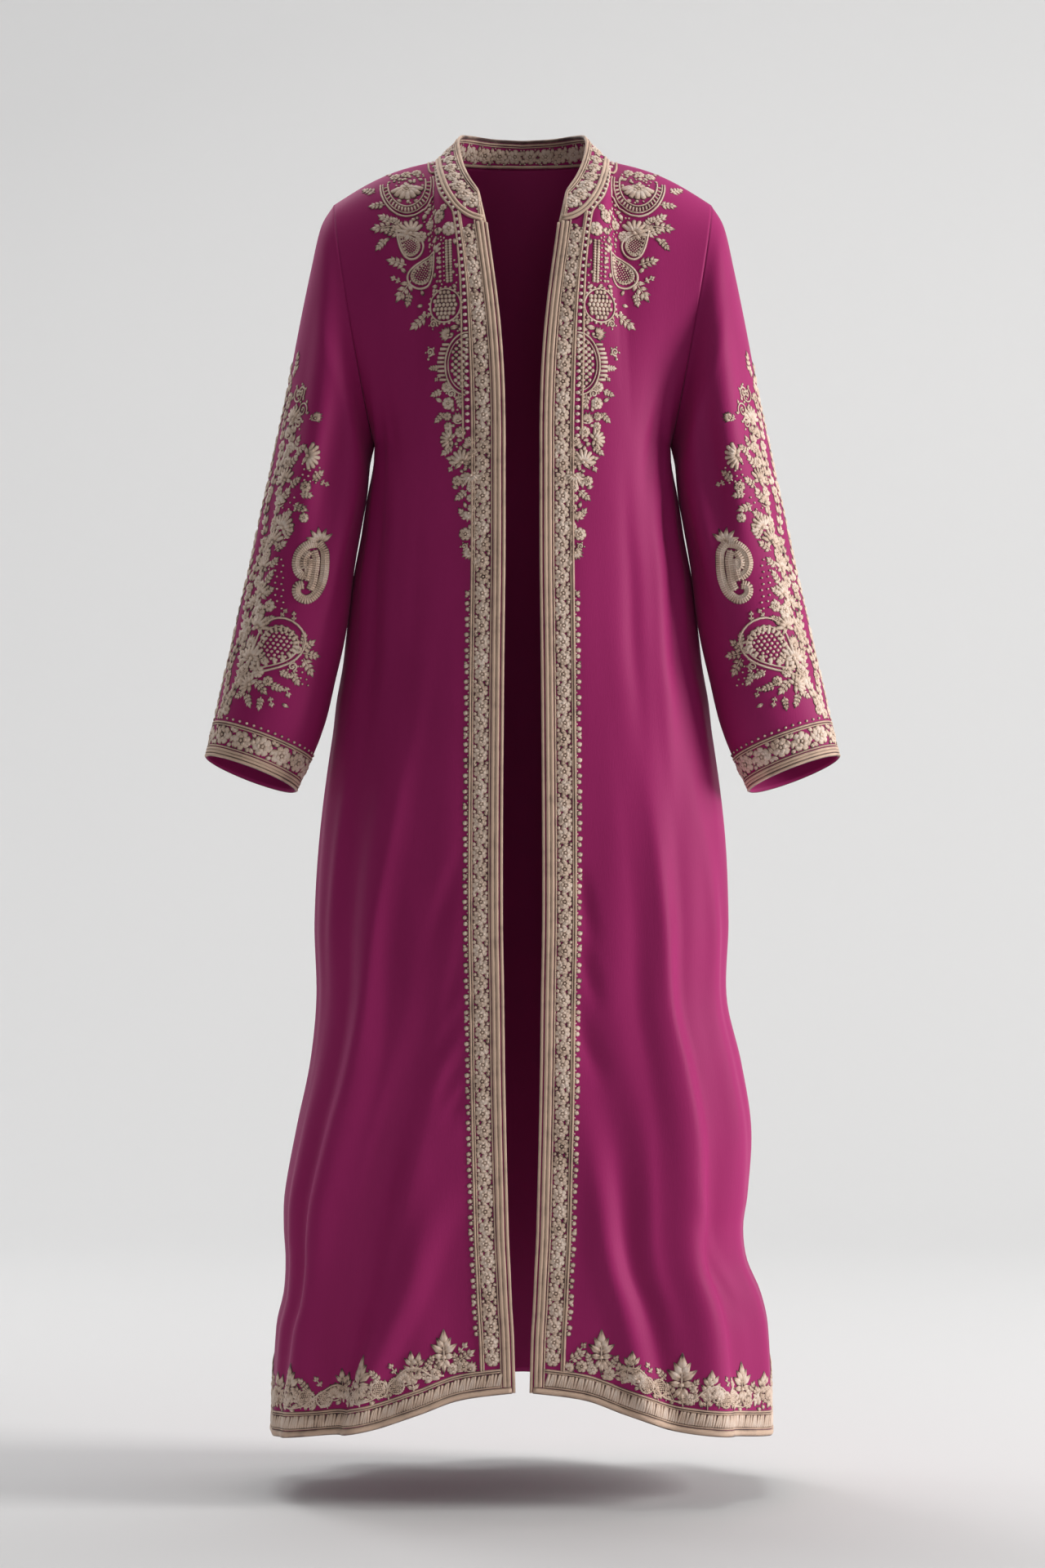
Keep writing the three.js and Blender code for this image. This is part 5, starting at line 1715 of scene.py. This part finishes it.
def lay_fan(pile, spot, angle, width, height):
    """A deep scallop: three cords, a ladder between two of them, and a flower inside."""
    turns = np.linspace(math.radians(-98), math.radians(98), 26)
    for share, cord in ((1.0, 2.0), (0.9, 1.2), (0.7, 1.6)):
        line = np.stack([share * width / 2 * np.sin(turns), -share * height * np.cos(turns)], axis=1)
        lay_stroke(pile, spot, turned(line, angle), cord, 1.4, tapered=False)
    for k in range(21):
        way = math.radians(-88 + 176 * k / 20)
        x, y = 0.8 * width / 2 * math.sin(way), -0.8 * height * math.cos(way)
        (x, y), = turned([(x, y)], angle)
        heading = math.degrees(math.atan2(math.sin(way) * width / 2, -math.cos(way) * height))
        foot = math.radians(heading + angle)
        place = x - 2.4 * math.sin(foot), y - 2.4 * math.cos(foot), heading + angle
        lay_form(pile, spot, "bar", *place, 5.2, 1.9, 1.3)
    for k in range(7):
        lean = -72 + 24 * k
        (x, y), = turned([(0, -height * 0.1)], angle)
        lay_form(pile, spot, "petal", x, y, 180 + lean + angle, height * 0.42, width * 0.12, 1.7)
    (x, y), = turned([(0, -height * 0.08)], angle)
    lay_form(pile, spot, "dot", x, y, 0, 6, 6, 2.4)


def lay_bloom(pile, spot, angle, size):
    """A leafy flower seen from the side, its petals spread over a cup."""
    for ring, (count, spread, reach) in enumerate(((7, 75, 0.62), (5, 52, 0.44))):
        for k in range(count):
            lean = -spread + 2 * spread * k / (count - 1)
            lay_form(pile, spot, "petal", 0, 0, angle + lean, size * reach, size * 0.17, 1.5 + ring)
    for way in (-1, 1):
        lay_form(pile, spot, "leaf", 0, 0, angle + way * 118, size * 0.5, size * 0.17, 1.5)
    lay_form(pile, spot, "dot", 0, 0, 0, size * 0.2, size * 0.2, 2.8)


def lay_pod(pile, spot, angle, size):
    """Half an almond on the border: two cords round rows of seeds, and a comb of bars on its back."""
    turns = np.linspace(0, math.pi, 22)
    for inset, cord in ((0.0, 2.0), (0.05, 1.2)):
        across, up = (0.36 - inset) * size, (0.5 - 1.4 * inset) * size
        line = np.stack([-across * np.sin(turns), up * np.cos(turns)], axis=1)
        lay_stroke(pile, spot, turned(line, angle), cord, 1.4, tapered=False)
    for row in range(-8, 9):
        y = row * size * 0.05
        reach = 0.28 * size * math.sqrt(max(0.0, 1 - (y / (0.44 * size)) ** 2))
        for column in range(int(reach / (size * 0.058))):
            (at_x, at_y), = turned([(-size * 0.058 * (column + 0.6), y)], angle)
            lean = 35 if (row + column) % 2 else -35
            lay_form(pile, spot, "petal", at_x, at_y, lean, size * 0.066, size * 0.05, 1.5)
    for k in range(9):
        y = size * (0.3 - 0.07 * k)
        back = 0.36 * size * math.sqrt(1 - (y / (0.5 * size)) ** 2)
        (at_x, at_y), = turned([(-back - 1.2, y)], angle)
        lay_form(pile, spot, "bar", at_x, at_y, angle - 90, size * 0.12, size * 0.04, 1.4)


def lay_ladder(pile, spot, angle, length, width):
    """A column of large dots, one of small dots and a column of close petals, as on a ribbon."""
    for k in range(int(length / 5.2)):
        y = length / 2 - (k + 0.5) * 5.2
        for x, size in ((-width * 0.42, 4.0), (-width * 0.08, 2.6)):
            (at_x, at_y), = turned([(x, y)], angle)
            lay_form(pile, spot, "dot", at_x, at_y, 0, size, size, 1.5)
    for k in range(int(length / 3.0)):
        (at_x, at_y), = turned([(width * 0.3, length / 2 - (k + 0.5) * 3.0)], angle)
        for way in (-1, 1):
            lay_form(pile, spot, "petal", at_x, at_y, angle + way * 68, width * 0.26, 3.0, 1.5)


def centred(lay, share):
    """A motif whose middle, not its foot, stands on the spot."""
    def placed(pile, spot, angle, size):
        way = math.radians(angle)
        lay(pile, spot, -share * size * math.sin(way), -share * size * math.cos(way), angle, size)
    return placed


MOTIFS = {
    "rose": lambda pile, spot, angle, size: lay_rose(pile, spot, 0, 0, size, angle),
    "sprig": centred(lay_sprig, 0.5),
    "twig": centred(lambda *place: lay_sprig(*place, 2), 0.5),
    "palmette": centred(lay_palmette, 0.35),
    "scroll": lambda pile, spot, angle, size: lay_scroll(pile, spot, 0, 0, angle, size),
    "paisley": lay_paisley,
    "curl": lay_curled_paisley,
    "fruit": lambda pile, spot, angle, size: lay_fruit(pile, spot, size),
    "fan": lambda pile, spot, angle, size: lay_fan(pile, spot, angle, size, size * 0.78),
    "bloom": lay_bloom,
    "pod": lay_pod,
    "ladder": lambda pile, spot, angle, size: lay_ladder(pile, spot, angle, size, 15),
    "leaf": lambda pile, spot, angle, size: lay_form(pile, spot, "leaf", 0, 0, angle, size, size * 0.42, 1.6),
    "dot": lambda pile, spot, angle, size: lay_form(pile, spot, "dot", 0, 0, 0, size, size, 1.6),
}

# %% Hem
hem_braid, hem_flowers = Pile("hem_braid"), Pile("hem_flowers")
for t, start, width, height in HEM_CORDS:
    lay_braid(hem_braid, "body", hem_line(t, start), width, height, "fine")
# part, start of the satin bars, start and end margin of the garden, seed
HEM_RUNS = [("left", 13.0, 74.0, 4.0, 5), ("right", 13.0, 74.0, 4.0, 5), ("back", 0.0, 40.0, 40.0, 7)]
for part, start, first, last, seed in HEM_RUNS:
    chart = CHARTS["hem_" + part]
    lay_hem_bars(hem_flowers, chart, start, chart.runs[-1])
    lay_hem_garden(hem_flowers, chart, first, chart.runs[-1] - last, seed)
    if part != "back":
        for along, up, kind, angle, size in HEM_CORNER:
            MOTIFS[kind](hem_flowers, chart_spot(chart, along, 27.0 + up, upright=True), angle, size)
print(hem_flowers.name, hem_flowers.count, "points")

# %% [markdown]
# ## The yoke
# The chest piece is widest at the shoulder and tapers to a vine beside the border. Its places are pixels of
# the photograph's left half, read at the middle of each motif, and the sizes are in millimetres.

# %% Yoke table
# motif, pixel x, pixel y, degrees from up, size
YOKE = [
    ("fan", 498, 225, -8, 60),
    ("rose", 484, 217, 0, 12),
    ("rose", 497, 214, 20, 12),
    ("rose", 510, 212, 0, 11),
    ("rose", 498, 232, 0, 18),
    ("sprig", 451, 234, -72, 22),
    ("sprig", 461, 252, -94, 20),
    ("sprig", 472, 268, -60, 22),
    ("sprig", 467, 279, -96, 27),
    ("sprig", 486, 272, -40, 17),
    ("leaf", 492, 282, -62, 13),
    ("sprig", 466, 300, -142, 18),
    ("leaf", 477, 292, -120, 9),
    ("paisley", 498, 300, -58, 38),
    ("bloom", 503, 286, -24, 27),
    ("rose", 516, 290, 0, 13),
    ("sprig", 478, 284, -70, 22),
    ("rose", 537, 265, 0, 16),
    ("rose", 528, 276, 20, 12),
    ("rose", 550, 280, 30, 16),
    ("rose", 543, 254, 10, 8),
    ("dot", 540, 282, 0, 5),
    ("leaf", 522, 262, 200, 10),
    ("leaf", 556, 292, 160, 9),
    ("paisley", 518, 330, 16, 44),
    ("sprig", 485, 321, -74, 24),
    ("leaf", 498, 316, -30, 8),
    ("leaf", 497, 334, -45, 9),
    ("twig", 484, 342, -64, 13),
    ("sprig", 494, 357, -146, 30),
    ("sprig", 500, 368, -170, 17),
    ("ladder", 545, 321, -6, 48),
    ("fruit", 545, 374, 0, 40),
    ("leaf", 519, 362, -30, 8),
    ("leaf", 518, 374, -100, 8),
    ("dot", 520, 383, 0, 4),
    ("sprig", 512, 396, -128, 24),
    ("twig", 522, 386, -80, 12),
    ("scroll", 531, 397, 60, 9),
    ("leaf", 551, 402, 80, 12),
    ("palmette", 542, 412, -76, 19),
    ("pod", 572, 445, 2, 68),
    ("scroll", 527, 431, -20, 9),
    ("dot", 525, 440, 0, 3.5),
    ("sprig", 531, 451, -90, 13),
    ("twig", 536, 463, -140, 10),
    ("rose", 547, 474, 0, 11),
    ("scroll", 553, 482, 40, 9),
    ("sprig", 534, 482, -112, 15),
    ("leaf", 541, 492, -60, 9),
    ("rose", 549, 494, 10, 13),
    ("sprig", 563, 492, 170, 18),
    ("sprig", 538, 512, -134, 16),
    ("rose", 548, 510, 0, 9),
    ("palmette", 559, 512, -20, 17),
    ("rose", 549, 522, 30, 9),
    ("rose", 564, 529, 0, 12),
    ("bloom", 552, 538, -78, 20),
    ("sprig", 547, 552, -128, 17),
    ("rose", 575, 541, 0, 11),
    ("rose", 580, 553, 0, 9),
    ("leaf", 566, 544, 120, 10),
    ("bloom", 566, 566, -14, 24),
    ("sprig", 576, 560, 30, 16),
    ("twig", 553, 572, -150, 13),
    ("leaf", 554, 562, -80, 8),
    ("bloom", 577, 582, 170, 18),
    ("rose", 560, 589, 0, 11),
    ("sprig", 568, 588, 190, 18),
    ("rose", 577, 597, 0, 10),
    ("sprig", 564, 607, -128, 18),
    ("leaf", 561, 598, -70, 8),
    ("rose", 576, 610, 0, 8),
    ("rose", 578, 622, 0, 9),
    ("sprig", 567, 629, -40, 17),
    ("leaf", 571, 622, -20, 8),
    ("palmette", 573, 638, 190, 17),
    ("rose", 570, 654, 0, 14),
    ("leaf", 580, 644, 30, 8),
    ("twig", 579, 666, 10, 12),
    ("scroll", 569, 669, -20, 7),
    ("palmette", 570, 683, -120, 17),
    ("leaf", 580, 684, 160, 10),
]
# Filling between the motifs: its two limits, as pixel y and pixel x
YOKE_LIMIT = {
    "y": [214, 245, 262, 275, 300, 345, 360, 400, 480, 536, 545, 600, 640, 690],
    "x": [470, 486, 508, 500, 520, 530, 526, 540, 548, 554, 556, 563, 570, 577],
    "far": [522, 530, 540, 552, 556, 561, 563, 567, 570, 571, 583, 584, 584, 584],
}
FILL_TRIES, FILL_APART = 4000, 3.1


def lay_yoke(pile, side, behind=False):
    for motif, x, y, angle, size in YOKE:
        MOTIFS[motif](pile, seen_spot("body", x, y, side, behind), angle, size)


def fill_yoke(pile, side, seed):
    """Small leaves and dots wherever the ground still shows between the motifs."""
    chance = np.random.default_rng(seed)
    used = BVHTree.FromPolygons(np.concatenate(pile.points).tolist(), pile.faces)
    laid = []
    for _ in range(FILL_TRIES):
        y = float(chance.uniform(214, 690))
        low = float(read(YOKE_LIMIT, "y", y, "x")) + 3
        high = float(read(YOKE_LIMIT, "y", y, "far"))
        if low > high:
            continue
        spot = seen_spot("body", float(chance.uniform(low, high)), y, side)
        angle, length = float(chance.uniform(0, 360)), float(chance.uniform(4.5, 8))
        near = used.find_nearest(Vector(spot.at))[3]
        if near < FILL_APART * 0.62 or any(np.linalg.norm(spot.at - other) < FILL_APART for other in laid):
            continue
        laid.append(spot.at)
        kind = "leaf" if len(laid) % 3 else "dot"
        size = length if kind == "leaf" else 2.8
        lay_form(pile, spot, kind, 0, 0, angle, size, size * 0.5 if kind == "leaf" else size, 1.2)
    return len(laid)


yoke = {}
for side, sign in (("right", -1), ("left", 1)):
    yoke[side] = Pile("yoke_" + side)
    lay_yoke(yoke[side], sign)
    print("yoke", side, yoke[side].count, "points, fill", fill_yoke(yoke[side], sign, 11))

# %% [markdown]
# ## Back of the neck
# The photograph doesn't show the back. Such a kaftan has its neckline worked all round, so a garland of the
# same motifs goes round the back of the neck ring and meets the chest piece on the shoulders.

# %% Garland
# distance from the neck seam, motif, size, step
GARLAND = [(24, "rose", 17, 21), (40, "bloom", 24, 26), (33, "twig", 15, 13)]
garland = Pile("back_garland")
for distance, motif, size, step in GARLAND:
    for place in evened(neck_line(distance), step):
        if place[1] < 6:
            continue
        away = np.array([place[0], place[1] * 0.8, -abs(place[1]) * 0.5])
        MOTIFS[motif](garland, spot_at("body", place, away), 0, size)
print(garland.name, garland.count, "points")

# %% [markdown]
# ## Sleeves
# The sleeve's embroidery is a tall tree of leaves along its outer side, with a curled teardrop, a shower of
# dots and a large tilted teardrop before the cuff. The photograph shows its front half, and the same is
# laid on the half that it hides.

# %% Sleeve table
SLEEVE = [
    ("sprig", 364, 443, 2, 26),
    ("scroll", 370, 480, 30, 14),
    ("scroll", 366, 484, 200, 19),
    ("leaf", 360, 462, -10, 12),
    ("sprig", 356, 470, -16, 22),
    ("scroll", 371, 502, 60, 18),
    ("twig", 386, 510, 70, 15),
    ("palmette", 391, 512, 60, 14),
    ("bloom", 360, 514, -10, 26),
    ("scroll", 366, 518, 90, 13),
    ("palmette", 352, 530, -30, 22),
    ("sprig", 364, 542, 30, 20),
    ("bloom", 377, 558, 100, 26),
    ("sprig", 369, 550, 62, 20),
    ("rose", 356, 548, 0, 13),
    ("sprig", 360, 564, 48, 22),
    ("rose", 352, 566, 0, 14),
    ("sprig", 390, 582, 50, 19),
    ("twig", 398, 592, 110, 12),
    ("rose", 374, 596, 0, 12),
    ("sprig", 362, 590, 60, 20),
    ("sprig", 376, 606, 100, 16),
    ("sprig", 368, 622, 110, 20),
    ("rose", 372, 634, 0, 10),
    ("bloom", 350, 588, -20, 24),
    ("sprig", 350, 606, 38, 24),
    ("palmette", 343, 612, -10, 22),
    ("sprig", 352, 630, 70, 18),
    ("bloom", 346, 646, 30, 26),
    ("rose", 336, 640, 0, 14),
    ("sprig", 354, 652, 40, 18),
    ("bloom", 335, 664, -6, 26),
    ("sprig", 344, 668, 60, 20),
    ("curl", 379, 697, 6, 77),
    ("rose", 328, 678, 0, 14),
    ("sprig", 336, 688, 50, 17),
    ("bloom", 323, 696, -10, 24),
    ("sprig", 330, 706, 34, 20),
    ("rose", 316, 712, 0, 14),
    ("bloom", 320, 728, 0, 25),
    ("sprig", 330, 724, 56, 16),
    ("rose", 318, 748, 0, 17),
    ("bloom", 311, 740, -30, 20),
    ("rose", 330, 742, 0, 13),
    ("bloom", 316, 768, 20, 26),
    ("rose", 302, 764, 0, 15),
    ("sprig", 330, 758, 70, 16),
    ("twig", 348, 750, 40, 11),
    ("twig", 360, 754, 0, 11),
    ("paisley", 336, 800, 214, 80),
    ("sprig", 372, 782, 8, 17),
    ("sprig", 378, 790, 54, 20),
    ("sprig", 382, 802, 100, 22),
    ("sprig", 378, 818, 150, 24),
    ("rose", 366, 796, 0, 8),
    ("scroll", 358, 816, 10, 10),
    ("sprig", 362, 832, 150, 18),
    ("sprig", 350, 826, 120, 16),
    ("palmette", 306, 786, -24, 22),
    ("bloom", 308, 806, -20, 28),
    ("rose", 299, 820, 0, 14),
    ("rose", 316, 822, 0, 14),
    ("sprig", 322, 806, -40, 18),
    ("sprig", 298, 800, -70, 17),
    ("bloom", 306, 838, -60, 24),
    ("sprig", 320, 842, 140, 22),
    ("rose", 328, 834, 0, 11),
    ("sprig", 340, 842, 110, 18),
    ("twig", 352, 848, 160, 13),
    ("sprig", 294, 850, -120, 18),
    ("sprig", 304, 858, 160, 18),
    ("sprig", 318, 862, 190, 16),
    ("twig", 332, 860, 170, 12),
    ("leaf", 346, 862, 120, 8),
    ("leaf", 284, 858, -140, 9),
]
# Rows of leaves down the outer sleeve: shares of the arm where they start and end, step, and degrees round
# the arm. Each row sways from side to side
SPINE_FROM, SPINE_TO, SPINE_STEP, SPINE_TURNS = 0.3, 0.9, 10.0, (5, 24, 40)
SPINE_WAVE, SPINE_SWAY = 0.7, 4.0
# Showers of dots: first pixel, last pixel, rows and columns
DOT_SHOWERS = [
    ((331, 682), (346, 742), 9, 3),
    ((372, 568), (392, 588), 4, 4),
    ((348, 606), (362, 622), 3, 3),
    ((362, 800), (376, 836), 6, 3),
]


def sleeve_spot(side, along, degrees):
    """A place on a sleeve, by its share of the arm and the degrees from its outer side to the front."""
    sign = 1 if side == "left" else -1
    at, ahead = sleeve_points(np.array([along, along - 0.01]), np.array([degrees, degrees]))
    return spot_at("sleeve_" + side, at * [sign, 1, 1], (ahead - at) * [sign, 1, 1], sign)


def lay_sleeve(pile, side, sign):
    name = "sleeve_" + side
    for behind in (False, True):
        for motif, x, y, angle, size in SLEEVE:
            MOTIFS[motif](pile, seen_spot(name, x, y, sign, behind), angle, size)
        for (x_0, y_0), (x_1, y_1), rows, columns in DOT_SHOWERS:
            for row in range(rows):
                for column in range(columns):
                    x = x_0 + (x_1 - x_0) * column / (columns - 1) + (row % 2) * 2 - 1
                    y = y_0 + (y_1 - y_0) * row / (rows - 1) + column * 1.6
                    MOTIFS["dot"](pile, seen_spot(name, x, y, sign, behind), 0, 2.7)
    count = int((SPINE_TO - SPINE_FROM) * SLEEVE_LENGTH / SPINE_STEP)
    for row, degrees in enumerate(SPINE_TURNS):
        for k in range(2 * row, count):
            along = SPINE_FROM + (SPINE_TO - SPINE_FROM) * (k + 0.5 * (row % 2)) / count
            for way in (-1, 1):
                sway = SPINE_WAVE * k + 2 * row
                spot = sleeve_spot(side, along, way * (degrees + SPINE_SWAY * math.sin(sway)))
                angle = way * row * 14 + 16 * way * math.cos(sway)
                lay_leaf_pair(pile, spot, 0, 0, angle, 40, 11.5, 5.4)
                if k % 5 == 2:
                    lay_rose(pile, spot, 0, 3, 12, angle)
                else:
                    lay_form(pile, spot, "leaf", 0, 2, angle, 11, 4.8, 1.8)


sleeve_work = {}
for side, sign in (("right", -1), ("left", 1)):
    sleeve_work[side] = Pile("sleeve_work_" + side)
    lay_sleeve(sleeve_work[side], side, sign)
    print("sleeve work", side, sleeve_work[side].count, "points")

# %% [markdown]
# ## Piles become pieces
# Each pile is one object. It rides on the garment's only body, takes the material of its thread, and
# replaces the imported band whose place it fills.

# %% Build the sewing
# pile, material, slot, imported nodes that it replaces
SIDES = ("left", "right")
SEWING = [
    *[(braids[s], braid_thread, "braid", ["front_band_" + s, "front_piping_" + s]) for s in SIDES],
    *[(flowers[s], satin, "embroidery", []) for s in SIDES],
    (hem_braid, braid_thread, "braid", ["hem_band_left", "hem_band_right", "hem_band_back"]),
    (hem_flowers, satin, "embroidery", []),
    *[(cuff_braid[s], braid_thread, "braid", ["cuff_band_" + s]) for s in SIDES],
    *[(cuff_flowers[s], satin, "embroidery", []) for s in SIDES],
    (collar_braid, braid_thread, "braid", ["collar_braid", "collar_piping"]),
    (collar_flowers, satin, "embroidery", []),
    (ring_braid, braid_thread, "braid", []),
    (ring_dots, pale_satin, "embroidery", []),
    *[(yoke[s], satin, "embroidery", []) for s in SIDES],
    (garland, satin, "embroidery", []),
    *[(sleeve_work[s], satin, "embroidery", []) for s in SIDES],
]
total = 0
for pile, material, slot, nodes in SEWING:
    piece = pile.build(material)
    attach(piece, "root")
    if nodes:
        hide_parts(*nodes)
    piece.data.calc_loop_triangles()
    total += len(piece.data.loop_triangles)
    print(piece.name, len(piece.data.loop_triangles), "triangles")
print("sewing in all", total, "triangles")
